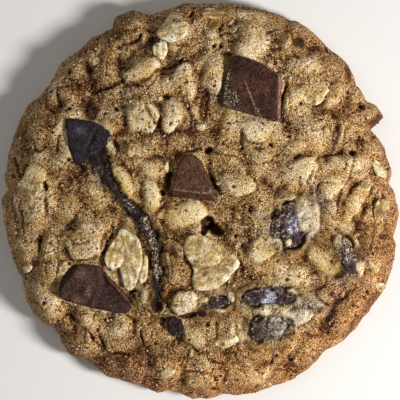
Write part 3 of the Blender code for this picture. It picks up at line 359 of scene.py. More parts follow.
# Big oats in the dough: x, y, length, width, turn in degrees, rise, paleness, bareness, and how much
# they climb per millimetre along x and y.
OAT_PLATES = (
    (-15.9, -12.6, 14.4, 7.0, 98, 0.5, 0.6, 0.2, 0.03, 0.0),
    (3.4, -14.8, 12.0, 8.6, -52, 0.6, 0.6, 0.6, -0.05, 0.06),
    (0.4, -11.4, 8.2, 6.2, -30, 0.9, 0.6, 0.6, -0.04, 0.05),
    (-3.3, -3.0, 10.2, 7.0, 20, 1.6, 1.0, 1.0, 0.06, 0.05),
    (-16.8, 3.6, 7.6, 4.0, -66, 1.4, 0.8, 0.9, 0.03, 0.0),
    (-10.8, 0.2, 7.6, 4.2, 96, 1.3, 0.78, 0.9, 0.0, 0.0),
    (-29.8, -1.1, 7.8, 6.8, 10, 0.9, 0.6, 0.5, 0.0, 0.0),
    (25.3, 24.4, 6.4, 5.4, 30, 0.8, 0.65, 0.4, 0.05, -0.05),
    (27.2, -13.4, 8.4, 5.4, -35, 0.9, 0.75, 0.8, -0.05, -0.08),
    (35.0, -0.6, 12.4, 4.4, 57, 1.0, 0.55, 0.5, -0.06, 0.0),
    (-3.2, -22.2, 6.0, 5.4, 0, 0.9, 0.8, 0.3, 0.0, 0.0),
    (-25.4, -9.4, 7.4, 6.4, 30, 0.5, 0.5, 0.3, 0.06, 0.0),
    (-4.0, 27.4, 5.8, 4.2, 75, 0.6, 0.6, 0.4, 0.06, -0.04),
    (-12.9, 17.8, 7.0, 6.2, 80, 0.5, 0.65, 0.4, 0.04, -0.04),
    (-6.8, 17.6, 6.4, 4.2, 80, 0.6, 0.7, 0.3, 0.04, -0.05),
    (12.6, 14.9, 6.8, 4.8, -10, 0.5, 0.65, 0.5, 0.0, -0.08),
    (9.3, 3.0, 6.4, 5.2, 20, 0.5, 0.75, 0.5, 0.04, -0.06),
    (23.4, 6.8, 6.6, 5.2, 20, 0.5, 0.75, 0.4, 0.05, -0.04),
    (13.4, -11.0, 6.6, 5.0, 30, 0.5, 0.8, 0.5, 0.04, -0.05),
    (-36.2, 4.6, 6.8, 5.4, 80, 0.5, 0.7, 0.4, 0.05, 0.03),
    (-12.6, 28.6, 8.6, 4.2, 25, 0.9, 0.7, 0.6, 0.03, -0.04),
    (15.8, -15.4, 6.4, 4.0, 35, 0.7, 0.75, 0.5, 0.0, 0.0),
    (17.6, -24.6, 9.0, 4.6, 40, 0.6, 0.7, 0.3, 0.0, 0.0),
)

# Oat flakes that lie bare: x, y, length, width, turn in degrees, lift, paleness of middle and of rim.
BARE_FLAKES = (
    (-15.7, -12.8, 14.4, 5.4, 98, 2.4, 0.64, 0.92), (-18.6, -11.6, 8.8, 3.8, 76, 3.0, 0.68, 0.9),
    (-12.4, -15.6, 7.0, 1.7, 80, 2.2, 0.74, 0.92),
    (-8.9, 33.8, 4.4, 3.2, 100, 0.9, 0.85, 1.0), (40.2, -2.2, 5.4, 3.8, 80, 0.5, 0.45, 0.7),
    (40.6, 7.0, 4.8, 2.4, -50, 0.5, 0.75, 0.9), (5.9, -31.4, 5.6, 2.6, 18, 0.6, 0.6, 0.85),
    (3.0, 41.4, 4.8, 2.4, 10, 0.4, 0.55, 0.7), (-39.0, -15.4, 2.6, 1.8, 30, 0.5, 0.7, 0.9),
    (-30.4, -14.8, 2.4, 1.8, 60, 0.6, 0.6, 0.7), (-23.6, 31.4, 2.2, 1.9, 20, 0.6, 0.6, 0.7),
    (0.2, 16.2, 2.0, 1.7, 0, 0.6, 0.8, 0.9), (-33.4, -11.9, 1.9, 0.6, 5, 0.6, 0.9, 0.9),
    (38.9, -18.8, 3.0, 2.2, -30, 0.5, 0.6, 0.8), (-7.2, -38.2, 3.6, 2.4, 20, 0.5, 0.7, 0.8),
    (27.8, 15.0, 1.4, 2.6, -10, 0.6, 0.8, 0.9),
)

# Two more that lie on each other beside the deep hole, laid out in the same way.
MIDDLE_FLAKES = (
    (2.9, -15.2, 11.6, 8.4, 24, 0.8, 0.56, 0.86), (0.2, -11.6, 8.4, 6.4, -24, 1.8, 0.6, 0.68),
)

# Two more, half bedded in the crumb near the top and right of the cookie.
BEDDED_FLAKES = (
    (25.4, 24.0, 6.8, 5.6, 40, -1.5, 0.6, 0.84), (-5.8, 37.2, 6.8, 4.4, 12, -0.4, 0.76, 0.9),
)

# Crumb on the chocolate: x, y, length, width, turn in degrees, strength.
DUSTED = (
    (6.0, 22.0, 7.0, 8.0, 20, 0.58), (17.7, 16.8, 2.6, 2.4, 0, 0.7), (5.4, 27.0, 2.0, 7.0, 0, 0.6),
    (18.0, -6.4, 7.0, 9.0, 0, 0.62),
    (18.4, -28.2, 8.0, 8.4, 0, 0.75), (-11.6, -5.0, 4.6, 5.0, 0, 0.66),
    (-10.3, -9.8, 2.6, 9.0, 12, 0.8), (-15.4, -1.6, 2.4, 6.0, 35, 0.5),
    (-9.3, -15.6, 2.6, 10.0, 4, 0.66), (-22.2, 6.4, 7.0, 4.0, 0, 0.4), (31.8, -9.8, 5.4, 8.0, 10, 1.0),
    (20.0, -21.2, 5.0, 3.2, 0, 0.55), (4.4, -22.7, 7.0, 3.2, 0, 0.25), (-19.0, 11.4, 3.0, 4.0, 0, 0.7),
    (3.2, 1.4, 2.6, 2.2, 0, 0.7), (12.6, 20.0, 2.0, 4.4, 24, 0.45), (7.0, 22.0, 5.0, 5.0, 0, 0.5),
    (-19.0, -24.0, 5.0, 2.6, 0, 0.2), (-5.2, -30.0, 3.0, 1.6, 0, 0.4),
)

# Painted sheen on the chocolate, laid out in the same way: pale highlights and reflections where the
# glossy chocolate would catch the light.
PAINTED_SHEEN = (
    (15.4, -21.9, 7.6, 3.0, 54, 1.0), (-26.6, 15.6, 3.4, 3.0, 30, 0.5), (20.6, -5.4, 4.0, 4.4, 0, 1.0),
    (18.4, -28.0, 7.6, 9.0, 0, 1.0), (34.2, -14.4, 4.4, 2.4, -40, 0.5), (3.5, 0.9, 1.0, 1.8, 0, 1.0),
)

# How finely the dough is laid out, and how much is scattered on it.
TOP_CELLS = 280
SIDE_RINGS = 9
UNDER_RINGS = (0.93, 0.86, 0.79, 0.72, 0.64, 0.56, 0.48, 0.40, 0.31, 0.22, 0.12)
HALVED_RINGS = (0, 4)
COATED_OATS = 260
LOW_MOUNDS = 110
OAT_BITS = 24
CRUMBS = 2600
GOLDEN_ANGLE = math.pi * (3 - math.sqrt(5))

# How high an oat lies in the mounds: at a share of their height, less a little.
OAT_BEDDING = 0.92
OAT_SINK = 0.1

# The crust's fine relief: how far apart its grains are, how high they rise, and how deep creases,
# folds, wrinkles, pits and pores are cut.
COARSE_GRAIN = 2.1
MIDDLE_GRAIN = 1.15
FINE_GRAIN = 0.72
COARSE_RISE = 0.36
MIDDLE_RISE = 0.18
FINE_RISE = 0.1
CREASE_SHARE = 0.85
FOLD_DEPTH = 0.4
WRINKLE_DEPTH = 0.25
PIT_DEPTH = 0.9
PORE_DEPTH = 0.40

# How the dough meets the chocolate: how deep its pockets are, how far it climbs to their edges, the
# height of the streak's bed, and how high dough lies where it covers a pool or reaches over the streak.
CHUNK_POCKET = 3.2
CHUNK_LIP = 3.4
POOL_POCKET = 1.3
POOL_LIP = 2.6
COVER_RISE = 2.8
STREAK_BED = -0.7
STREAK_LIP = 3.8
TONGUE_RISE = 1.6

# The underside: its bumps, the height of its middle, and its looks. Then how the edge above nears them.
UNDER_BUMPS = 0.16
UNDER_MIDDLE = 0.05
UNDER_PALENESS = 0.35
UNDER_BROWNING = 1.6
FOOT_PALENESS = 0.45
FOOT_BROWNING = 0.35

# A rolled oat's section, from its middle to its rim and back underneath: shares of its radius and
# of its thickness. Then its thickness, its curl for its width, how a row's lift counts, how far it
# may lean, its grooves, and the points round a flake and round a broken bit.
FLAKE_PROFILE = (
    (0.28, 0.58), (0.5, 0.52), (0.7, 0.42), (0.84, 0.3), (0.94, 0.16), (1.0, -0.1), (0.95, -0.35),
    (0.7, -0.5), (0.35, -0.5),
)
FLAKE_THICKNESS = 0.8
FLAKE_CURL = 0.02
FLAKE_LIFT = 0.30
FLAKE_LEAN = 0.12
GROOVE_DEPTH = 0.1
GROOVE_TURNS = 4.4
FLAKE_SIDES = 40
BIT_SIDES = 12

# A crumb is a twenty-sided lump: its corners, its sides, its least size, and how much larger it may be.
GOLDEN_RATIO = (1 + math.sqrt(5)) / 2
LUMP_CORNERS = (
    (-1, GOLDEN_RATIO, 0), (1, GOLDEN_RATIO, 0), (-1, -GOLDEN_RATIO, 0), (1, -GOLDEN_RATIO, 0),
    (0, -1, GOLDEN_RATIO), (0, 1, GOLDEN_RATIO), (0, -1, -GOLDEN_RATIO), (0, 1, -GOLDEN_RATIO),
    (GOLDEN_RATIO, 0, -1), (GOLDEN_RATIO, 0, 1), (-GOLDEN_RATIO, 0, -1), (-GOLDEN_RATIO, 0, 1),
)
LUMP_SIDES = (
    (0, 11, 5), (0, 5, 1), (0, 1, 7), (0, 7, 10), (0, 10, 11), (1, 5, 9), (5, 11, 4), (11, 10, 2),
    (10, 7, 6), (7, 1, 8), (3, 9, 4), (3, 4, 2), (3, 2, 6), (3, 6, 8), (3, 8, 9), (4, 9, 5),
    (2, 4, 11), (6, 2, 10), (8, 6, 7), (9, 8, 1),
)
CRUMB_SIZE = 0.17
CRUMB_SPREAD = 0.30

# The chocolate's meshes: points round them, places along the streak's outline, rings on top, steps
# down their sides, their rounded edges, and a distance from the edge that counts as the middle.
CHUNK_SIDES = 180
POOL_SIDES = 140
STREAK_SIDES = 40
OUTLINE_STEPS = 60
TOP_RINGS = 45
SIDE_STEPS = (0.1, 0.25, 0.45, 0.7, 1.0)
CHUNK_BEVEL = 0.38
POOL_SAG = 1.1
FAR_IN = 9.0

# The chunks' chocolate: its name, its deep and plain colours, the pale colour of its painted sheen and
# blooming, and roughness.
CHUNK_CHOCOLATE = {
    "chocolate_chunk_upper_right": ("snapped_dark_chocolate_satin", "#2F1307", "#5A3A29", "#8E6A56", 0.42),
    "chocolate_chunk_left": ("snapped_dark_chocolate_bluish", "#211617", "#38313A", "#54505E", 0.5),
    "chocolate_chunk_lower_left": ("snapped_dark_chocolate_red", "#361C17", "#614338", "#8A6655", 0.45),
    "chocolate_chunk_centre": ("snapped_dark_chocolate_pale", "#472B1B", "#6E5039", "#94725E", 0.55),
    "chocolate_chunk_small": ("snapped_dark_chocolate_plain", "#1E100B", "#3F291F", "#5A4033", 0.4),
}
# The glossy pools' palest colour is a painted bluish reflection; the lower right pool's palest is a
# painted grey sheen under crumb dust.
GLOSSY_CHOCOLATE = ("melted_dark_chocolate_glossy", "#2B1518", "#5C474A", "#B0B0C0", 0.36)
DUST_AND_SHEEN_CHOCOLATE = ("melted_dark_chocolate_dust_and_sheen", "#2C1A10", "#6E5A4A", "#B5A99C", 0.5)
STREAK_CHOCOLATE = ("melted_dark_chocolate_crumbed", "#160B07", "#402C24", "#6E5A50", 0.5)
DUST_AND_SHEEN_POOL = "chocolate_pool_lower_right"

# The stage. Each light: azimuth and elevation in degrees, distance and width in metres, and watts.
# The camera's distance is in metres too. The floor's half width and the width seen are millimetres.
LIGHTS = {
    "key_light": (-20.0, 38.0, 0.46, 0.12, 2.78),
    "fill_light": (150.0, 56.0, 0.9, 0.8, 1.2),
}
DAYLIGHT = 0.15
FLOOR_HALF = 900.0
CAMERA_DISTANCE = 0.5
SENSOR_WIDTH = 36.0
FRAME_WIDTH = 90.2


# ---------------------------------------------------------------- noise and small helpers


def smoothstep(low, high, value):
    """0 below low, 1 above high, and an even S between them."""
    share = np.clip((value - low) / (high - low), 0.0, 1.0)
    return share * share * (3 - 2 * share)


def hashed(cell, seed):
    """An even random number from 0 to 1 for each whole-numbered lattice point."""
    n = (cell[..., 0] * 73856093) ^ (cell[..., 1] * 19349663) ^ (cell[..., 2] * 83492791)
    n = (n ^ (seed * 2654435761)) & 0xFFFFFFFF
    n = ((n ^ (n >> 15)) * 2246822519) & 0xFFFFFFFF
    n = ((n ^ (n >> 13)) * 3266489917) & 0xFFFFFFFF
    return ((n ^ (n >> 16)) & 0xFFFFFF) / float(0xFFFFFF)


def noise(points, size, seed):
    """Smooth noise from -1 to 1 with bumps of about a size: lattice values blended along all axes."""
    place = points / size
    corner = np.floor(place).astype(np.int64)
    share = place - corner
    share = share * share * (3 - 2 * share)
    total = np.zeros(points.shape[:-1])
    for step in np.ndindex(2, 2, 2):
        weight = np.prod(np.where(np.array(step) == 1, share, 1 - share), axis=-1)
        total += weight * hashed(corner + np.array(step), seed)
    return total * 2 - 1


def fractal(points, size, seed, octaves=3):
    """Noise at a size and at each half of it, every one half as strong."""
    parts = [noise(points, size / 2**k, seed + k) / 2**k for k in range(octaves)]
    return sum(parts) / sum(0.5**k for k in range(octaves))


def grains(points, size, seed):
    """Distance to the nearest of points scattered one to a cell, in cells, and that point's number."""
    place = points / size
    corner = np.floor(place).astype(np.int64)
    nearest = np.full(points.shape[:-1], 9.0)
    number = np.zeros(points.shape[:-1])
    for step in np.ndindex(3, 3, 3):
        cell = corner + np.array(step) - 1
        spot = cell + np.stack([hashed(cell, seed + k) for k in range(3)], axis=-1)
        far = np.linalg.norm(place - spot, axis=-1)
        closer = far < nearest
        nearest = np.where(closer, far, nearest)
        number = np.where(closer, hashed(cell, seed + 3), number)
    return nearest, number


def turned(x, y, place_x, place_y, turn):
    """Distances along and across a direction, from a place."""
    c, s = math.cos(math.radians(turn)), math.sin(math.radians(turn))
    return c * (x - place_x) + s * (y - place_y), c * (y - place_y) - s * (x - place_x)


def from_line(x, y, x0, y0, x1, y1):
    """Distance of each point from a stretch of line, and the share of the stretch it is beside."""
    dx, dy = x1 - x0, y1 - y0
    share = np.clip(((x - x0) * dx + (y - y0) * dy) / (dx * dx + dy * dy), 0.0, 1.0)
    return np.hypot(x - x0 - share * dx, y - y0 - share * dy), share


# ---------------------------------------------------------------- the plain dome


def edge_offset(angle):
    """How far the edge stands outside the mean radius at an angle."""
    knots = np.array(EDGE)
    return np.interp(np.degrees(angle) % 360, knots[:, 0], knots[:, 1], period=360)


def crown_height(x, y):
    """Height of the plain dome over a point: a superellipse of the distance from the middle."""
    share = np.clip(np.hypot(x, y) / MEAN_RADIUS, 0.0, 1.0)
    return WIDEST_HEIGHT + (CROWN_HEIGHT - WIDEST_HEIGHT) * np.sqrt(1 - share**SHOULDER_POWER)


def meridian(share):
    """Radius share and height at even steps along the dome's profile, middle to widest ring."""
    sweep = np.linspace(0.0, math.pi / 2, 900)
    reach = np.sin(sweep) ** (2 / SHOULDER_POWER)
    height = WIDEST_HEIGHT + (CROWN_HEIGHT - WIDEST_HEIGHT) * np.cos(sweep)
    steps = np.hypot(np.diff(reach) * MEAN_RADIUS, np.diff(height))
    run = np.concatenate(([0.0], np.cumsum(steps)))
    run /= run[-1]
    return np.interp(share, run, reach), np.interp(share, run, height)


def share_at(radius):
    """How far along the profile a distance from the middle lies."""
    shares = np.linspace(0.0, 1.0, 900)
    return np.interp(radius / MEAN_RADIUS, meridian(shares)[0], shares)


def plain_dome(share, angle):
    """Points of the dome without relief, their outward normals, and the radius share."""
    reach, height = meridian(share)
    radius = reach * MEAN_RADIUS + edge_offset(angle) * reach**4
    out = SHOULDER_POWER * reach ** (SHOULDER_POWER - 1) / MEAN_RADIUS
    up = 2 * (height - WIDEST_HEIGHT) / (CROWN_HEIGHT - WIDEST_HEIGHT) ** 2
    points = np.stack((radius * np.cos(angle), radius * np.sin(angle), height), axis=-1)
    normal = np.stack((out * np.cos(angle), out * np.sin(angle), up), axis=-1)
    return points, normal / np.linalg.norm(normal, axis=-1, keepdims=True), reach


# ---------------------------------------------------------------- lumps, outlines and smoothing


def lay_lumps(x, y, height, marks, lumps, steep, power, soft, melting=1.0):
    """Raises a height to the highest of some lumps, and takes on the marks of the one on top.

    A lump is a dome over a rounded oblong: (limit - along^p - across^p)^steep, on its own base and
    tilt, and it runs into its neighbours over a soft height, times how melting the dough is there.
    Each row of lumps is x, y, length, width, turn, rise, paleness, bareness, base, tilt x, tilt y.
    Marks are paleness and bareness.
    """
    soft = soft * melting + np.zeros_like(x)
    for px, py, length, width, turn, rise, pale, bare, base, tilt_x, tilt_y in lumps:
        near = np.flatnonzero((np.abs(x - px) < length * 0.6) & (np.abs(y - py) < length * 0.6))
        if not len(near):
            continue
        along, across = turned(x[near], y[near], px, py, turn)
        inside = 1.0 - np.abs(along * 2 / length) ** power - np.abs(across * 2 / width) ** power
        dome = np.clip(inside, 0.0, 1.0) ** steep
        here = base + rise * dome + tilt_x * (x[near] - px) + tilt_y * (y[near] - py)
        here = np.where(inside > 0, here, -9.0)
        reach = soft[near]
        over = smoothstep(-reach, reach, here - height[near])
        marks[near] += (np.array((pale, bare)) - marks[near]) * over[:, None]
        meet = np.clip(reach - np.abs(here - height[near]), 0.0, None) ** 2 / (4 * reach)
        height[near] = np.maximum(height[near], here) + meet
    return height, marks


def mound_rows():
    """The named mounds as lump rows, spread so that they run into each other."""
    return [
        (x, y, length * MOUND_SPREAD, width * MOUND_SPREAD, turn, rise * MOUND_RISE - VALLEY_FLOOR, pale,
         0.0, VALLEY_FLOOR, 0.0, 0.0)
        for x, y, length, width, turn, rise, pale in MOUNDS
    ]


def resting_on_mounds(x, y):
    """Height at which an oat lies a little sunk in the mounds, and how pale the dough is there."""
    flat, plain_marks = np.zeros(len(x)), np.full((len(x), 2), 0.4)
    height, marks = lay_lumps(x, y, flat, plain_marks, mound_rows(), *MOUND_SHAPE)
    return height * OAT_BEDDING - OAT_SINK, marks[:, 0]


def strewn_lumps(draw, count, reach, stray, lengths, plumpness, rises):
    """Columns for lumps strewn evenly: x, y, length, width, turn in degrees, and rise.

    Lump n lies n golden angles round a spiral, at the root of its share of the area, and strays a bit.
    """
    number = np.arange(count)
    radius = reach * MEAN_RADIUS * np.sqrt((number + 0.5) / count)
    x = radius * np.cos(number * GOLDEN_ANGLE) + draw.uniform(-stray, stray, count)
    y = radius * np.sin(number * GOLDEN_ANGLE) + draw.uniform(-stray, stray, count)
    length = draw.uniform(*lengths, count)
    width = length * draw.uniform(*plumpness, count)
    turn = draw.uniform(0, 180, count)
    return x, y, length, width, turn, draw.uniform(*rises, count)


def coated_oats(seed):
    """Rows for the oats under a coat of dough, each on the mounds where it lies."""
    draw = np.random.default_rng(seed)
    oats = strewn_lumps(draw, COATED_OATS, 0.985, 0.9, (3.4, 6.8), (0.6, 0.85), (0.2, 0.6))
    tilt = draw.uniform(-0.13, 0.13, (2, COATED_OATS))
    base, pale = resting_on_mounds(*oats[:2])
    pale = np.clip(pale + draw.uniform(-0.12, 0.16, COATED_OATS), 0, 1)
    bare = draw.uniform(-0.6, 0.5, COATED_OATS).clip(0, 1)
    return list(zip(*oats, pale, bare, base, *tilt))


def low_mounds(seed):
    """Rows for low mounds that fill the ground between the named ones."""
    draw = np.random.default_rng(seed)
    mounds = strewn_lumps(draw, LOW_MOUNDS, 0.97, 1.4, (6.4, 11.0), (0.55, 0.85), (0.5, 1.3))
    pale = draw.uniform(0.36, 0.66, LOW_MOUNDS)
    tilt = draw.uniform(-0.08, 0.08, (2, LOW_MOUNDS))
    bare, base = np.zeros(LOW_MOUNDS), np.full(LOW_MOUNDS, VALLEY_FLOOR)
    return list(zip(*mounds, pale, bare, base, *tilt))


def plate_rows():
    """The named big oats, each lying a little sunk in the mound under its middle."""
    base, _ = resting_on_mounds(*np.array([row[:2] for row in OAT_PLATES]).T)
    return [(*row[:8], under, *row[8:]) for row, under in zip(OAT_PLATES, base)]


def patches(x, y, rows, edge=1.25):
    """The strongest of some soft-edged ovals at each point."""
    found = np.zeros_like(x)
    for px, py, length, width, turn, strength in rows:
        along, across = turned(x, y, px, py, turn)
        far = np.hypot(along * 2 / length, across * 2 / width)
        found = np.maximum(found, strength * (1 - smoothstep(0.5, edge, far)))
    return found


def chunk_edges(corners):
    """Middle of a chunk's outline, and each side's outward direction and distance from that middle."""
    corners = np.array(corners)
    middle = corners.mean(axis=0)
    side = np.roll(corners, -1, axis=0) - corners
    normal = np.stack((side[:, 1], -side[:, 0]), axis=-1) / np.hypot(*side.T)[:, None]
    return middle, np.arctan2(normal[:, 1], normal[:, 0]), ((corners - middle) * normal).sum(axis=1)


def outline_radius(angle, directions, distances, roundness=16):
    """Distance from the middle to a many-sided outline with softened corners: the p-norm of its sides."""
    lean = np.clip(np.cos(angle[..., None] - directions), 1e-4, None) / distances
    return (lean**roundness).sum(axis=-1) ** (-1 / roundness)


def oval_radius(angle, length, width, turn):
    """Distance from the middle of an oval to its outline."""
    c, s = np.cos(angle - math.radians(turn)), np.sin(angle - math.radians(turn))
    return 1 / np.sqrt((c * 2 / length) ** 2 + (s * 2 / width) ** 2)


def outside_chocolate(x, y):
    """The chocolate's outlines, as a signed distance outside each piece.

    With it comes the piece's height over the crown at each place, and what kind of piece it is.
    """
    path = streak_line(OUTLINE_STEPS)
    far = np.full_like(x, 99.0)
    for a, b in zip(path, path[1:]):
        distance, share = from_line(x, y, *a[:2], *b[:2])
        far = np.minimum(far, distance - (a[2] + (b[2] - a[2]) * share) / 2)
    yield far, np.full_like(x, STREAK_PROUD), "streak"
    for px, py, length, width, turn, proud in POOLS.values():
        edge = oval_radius(np.arctan2(y - py, x - px), length, width, turn)
        yield np.hypot(x - px, y - py) - edge, np.full_like(x, proud), "pool"
    for corners, proud, climb_x, climb_y in CHUNKS.values():
        middle, directions, distances = chunk_edges(corners)
        dx, dy = x - middle[0], y - middle[1]
        edge = outline_radius(np.arctan2(dy, dx), directions, distances)
        yield np.hypot(dx, dy) - edge, proud + climb_x * dx + climb_y * dy, "chunk"


def clear_of_chocolate(x, y, spare=0.0):
    """Distance from each place to the nearest chocolate; the melted kinds count as farther away."""
    clear = np.full(len(x), 99.0)
    for outside, _, kind in outside_chocolate(x, y):
        clear = np.minimum(clear, outside if kind == "chunk" else outside + spare)
    return clear


def streak_line(count):
    """The streak's middle line and width at even steps, on a smooth curve through its points."""
    points = np.array(STREAK)
    ends = np.vstack((2 * points[0] - points[1], points, 2 * points[-1] - points[-2]))
    share = np.linspace(0.0, 1.0, 16, endpoint=False)[:, None]
    curve = [
        0.5 * (2 * b + (c - a) * share + (2 * a - 5 * b + 4 * c - d) * share**2
               + (3 * b - a - 3 * c + d) * share**3)
        for a, b, c, d in zip(ends, ends[1:], ends[2:], ends[3:])
    ]
    curve = np.vstack([*curve, points[-1:]])
    run = np.concatenate(([0.0], np.cumsum(np.hypot(*np.diff(curve[:, :2], axis=0).T))))
    wanted = np.linspace(0.0, run[-1], count)
    return np.column_stack([np.interp(wanted, run, column) for column in curve.T])


def spread_out(values, faces, rounds):
    """Values on the points of a mesh, evened out along its edges in a number of rounds."""
    if values.ndim > 1:
        return np.column_stack([spread_out(column, faces, rounds) for column in values.T])
    pairs = np.concatenate((faces[:, [0, 1]], faces[:, [1, 2]], faces[:, [2, 0]]))
    here, there = np.concatenate((pairs, pairs[:, ::-1])).T
    count = np.bincount(here, minlength=len(values))
    for _ in range(rounds):
        total = np.bincount(here, weights=values[there], minlength=len(values))
        values = 0.4 * values + 0.6 * total / count
    return values


# ---------------------------------------------------------------- the relief of the dough


def melted_lumps(plain, x, y, faces):
    """Height, paleness and bareness of mounds and oats together, and how deep in a valley a place is.

    Low mounds, named mounds and coated oats are laid on each other and evened out along the mesh, so
    that they look melted together. The big oats lie on top and keep their edges.
    """
    height = VALLEY_FLOOR + 0.4 * fractal(plain, 9.0, 31)
    marks = np.column_stack((0.5 + 0.14 * noise(plain, 3.0, 35), np.zeros(len(plain))))
    melting = np.clip(1.1 + 2.4 * fractal(plain, 4.2, 37), 0.5, 3.0)
    height, marks = lay_lumps(x, y, height, marks, low_mounds(9), *LOW_SHAPE, melting)
    height, marks = lay_lumps(x, y, height, marks, mound_rows(), *MOUND_SHAPE)
    valley = 1 - smoothstep(-0.8, 1.0, height)
    height, marks = lay_lumps(x, y, height, marks, coated_oats(7), *OAT_SHAPE, melting)
    height, marks = spread_out(height, faces, 7), spread_out(marks, faces, 14)
    height, marks = lay_lumps(x, y, height, marks, plate_rows(), *PLATE_SHAPE, melting)
    height, marks = spread_out(height, faces, 1), spread_out(marks, faces, 3)
    return height, *marks.T, valley


def cut_creases(height, plain, x, y):
    """The height less the creases, bell curves that taper to both ends, and the soft-edged hollows."""
    jagged = 0.6 * fractal(plain, 2.0, 43)
    for x0, y0, x1, y1, width, depth in CREASES:
        far, share = from_line(x + jagged, y - jagged, x0, y0, x1, y1)
        taper = 1 - 0.8 * np.abs(2 * share - 1) ** 2
        height -= CREASE_SHARE * depth * taper * np.exp(-((far / (width * 0.5)) ** 2))
    for px, py, length, width, turn, depth in HOLLOWS:
        along, across = turned(x, y, px, py, turn)
        far = np.hypot(along * 2 / length, across * 2 / width)
        height -= depth * (1 - smoothstep(0.55, 1.15, far))
    return height


def grain_crust(height, plain, bare, valley):
    """The height with its fine relief: folds, wrinkles, soft bumps, grains of three sizes, pits, pores.

    Folds and wrinkles run where noise crosses zero. A grain falls evenly with the distance from its
    middle, and some cells hold a pit or a pore. A bare oat keeps only a little of the finest grain.
    """
    coated = 1 - bare
    folded = smoothstep(-0.1, 0.3, noise(plain, 7.0, 69)) * coated
    height -= FOLD_DEPTH * folded * np.exp(-((fractal(plain, 6.0, 67, 2) / 0.06) ** 2))
    wrinkled = coated - folded
    height -= WRINKLE_DEPTH * wrinkled * np.exp(-((fractal(plain, 3.6, 73, 2) / 0.07) ** 2))
    height += 0.36 * fractal(plain, 3.4, 47) * coated
    near, number = grains(plain, COARSE_GRAIN, 51)
    kept = smoothstep(0.25, 0.6, number)
    height += COARSE_RISE * (0.6 - near) * kept * (0.3 + 0.7 * valley) * coated
    height -= PIT_DEPTH * (1 - smoothstep(0.1, 0.28, near)) * (number < 0.10) * coated
    near, number = grains(plain, MIDDLE_GRAIN, 61)
    height += MIDDLE_RISE * (0.55 - near) * (0.3 + 0.5 * valley) * coated
    height -= PORE_DEPTH * (1 - smoothstep(0.12, 0.34, near)) * (number > 0.88 + 0.08 * bare)
    near, _ = grains(plain, FINE_GRAIN, 65)
    height += (FINE_RISE * (0.5 - near) + 0.05 * noise(plain, 0.45, 71)) * (1 - 0.8 * bare)
    return height


def fit_to_chunk(height, outside, proud, rough):
    """Dough round a chunk: a pocket inside its outline, with a lip that climbs to the chunk's edge."""
    limit = proud - CHUNK_POCKET + CHUNK_LIP * smoothstep(-0.45, 0.3, outside + 0.5 * rough)
    return np.where(outside < 0.4, np.minimum(height, limit), height)


def fit_to_pool(height, outside, proud, rough, uneven, over, fading, heaping):
    """Dough round a pool: a pocket, a raised brim along its uneven edge, and heaps that lie over it."""
    limit = proud - POOL_POCKET + rough * 2.6 + POOL_LIP * smoothstep(-1.6, 0.6, uneven)
    limit = limit + COVER_RISE * over
    brim = smoothstep(-1.3, -0.1, uneven) * (1 - smoothstep(-0.6, 3.6, outside))
    raised = height + np.clip(proud + 0.3 + rough - height, 0, None) * brim
    heap = (proud + 1.0 + heaping) * over
    inner = np.minimum(np.maximum(raised, heap), limit)
    outer = raised + np.clip(heap - raised, 0, None) * fading * over
    return np.where(outside < 0.5, inner, outer)


def fit_to_streak(height, outside, rough, plain):
    """Dough round the streak: a bed, a raised brim, and tongues of dough that reach over its sides."""
    limit = STREAK_BED + STREAK_LIP * smoothstep(-1.2, 0.6, outside + 2.4 * rough)
    tongues = smoothstep(0.0, 0.3, fractal(plain, 2.6, 91)) * smoothstep(-2.0, -0.6, outside)
    limit = np.maximum(limit, TONGUE_RISE * tongues + STREAK_BED * (1 - tongues))
    uneven = outside + 1.6 * fractal(plain, 2.4, 93)
    brim = smoothstep(-1.0, 0.0, uneven) * (1 - smoothstep(-0.4, 3.0, outside))
    raised = height + np.clip(0.7 + rough - height, 0, None) * brim
    return np.where(outside < 1.0, np.minimum(np.maximum(raised, 1.1 * tongues), limit), raised)


def meet_chocolate(height, tone, plain, x, y):
    """Fits the dough to every piece of chocolate, and stains it round the melted ones.

    Gives the height, the paleness, and how much chocolate is rubbed in, painted gap shadow included. x and
    y are the bent places.
    """
    over = patches(x, y, COVERED)
    # Rubbed-in chocolate, with painted shadow in the centre chunk's gaps.
    cocoa = patches(x, y, SMEARS_AND_GAP_SHADOWS)
    rough = 0.5 * fractal(plain, 1.6, 81)
    heaping = 1.2 * fractal(plain, 2.2, 63)
    true_x, true_y = plain[:, 0], plain[:, 1]
    for outside, proud, kind in outside_chocolate(true_x, true_y):
        if kind == "chunk":
            height = fit_to_chunk(height, outside, proud, rough)
        elif kind == "pool":
            uneven = outside + 2.2 * fractal(plain, 3.0, 57) + 0.9 * fractal(plain, 1.1, 59)
            uneven -= 1.5 * patches(true_x, true_y, OPEN)
            fading = 1 - smoothstep(0.2, 1.8, outside)
            height = fit_to_pool(height, outside, proud, rough, uneven, over, fading, heaping)
            stained = 0.8 * (1 - smoothstep(-0.8, 3.6, uneven + 2.0 * rough))
            cocoa = np.maximum(cocoa, stained * (1 - 0.9 * over))
            tone = tone + 0.5 * over * fading
        else:
            height = fit_to_streak(height, outside, rough, plain)
            stained = 0.85 * (1 - smoothstep(-0.6, 1.5, outside + 2.4 * rough))
            cocoa = np.maximum(cocoa, stained)
    return height, tone, np.clip(cocoa, 0, 1)


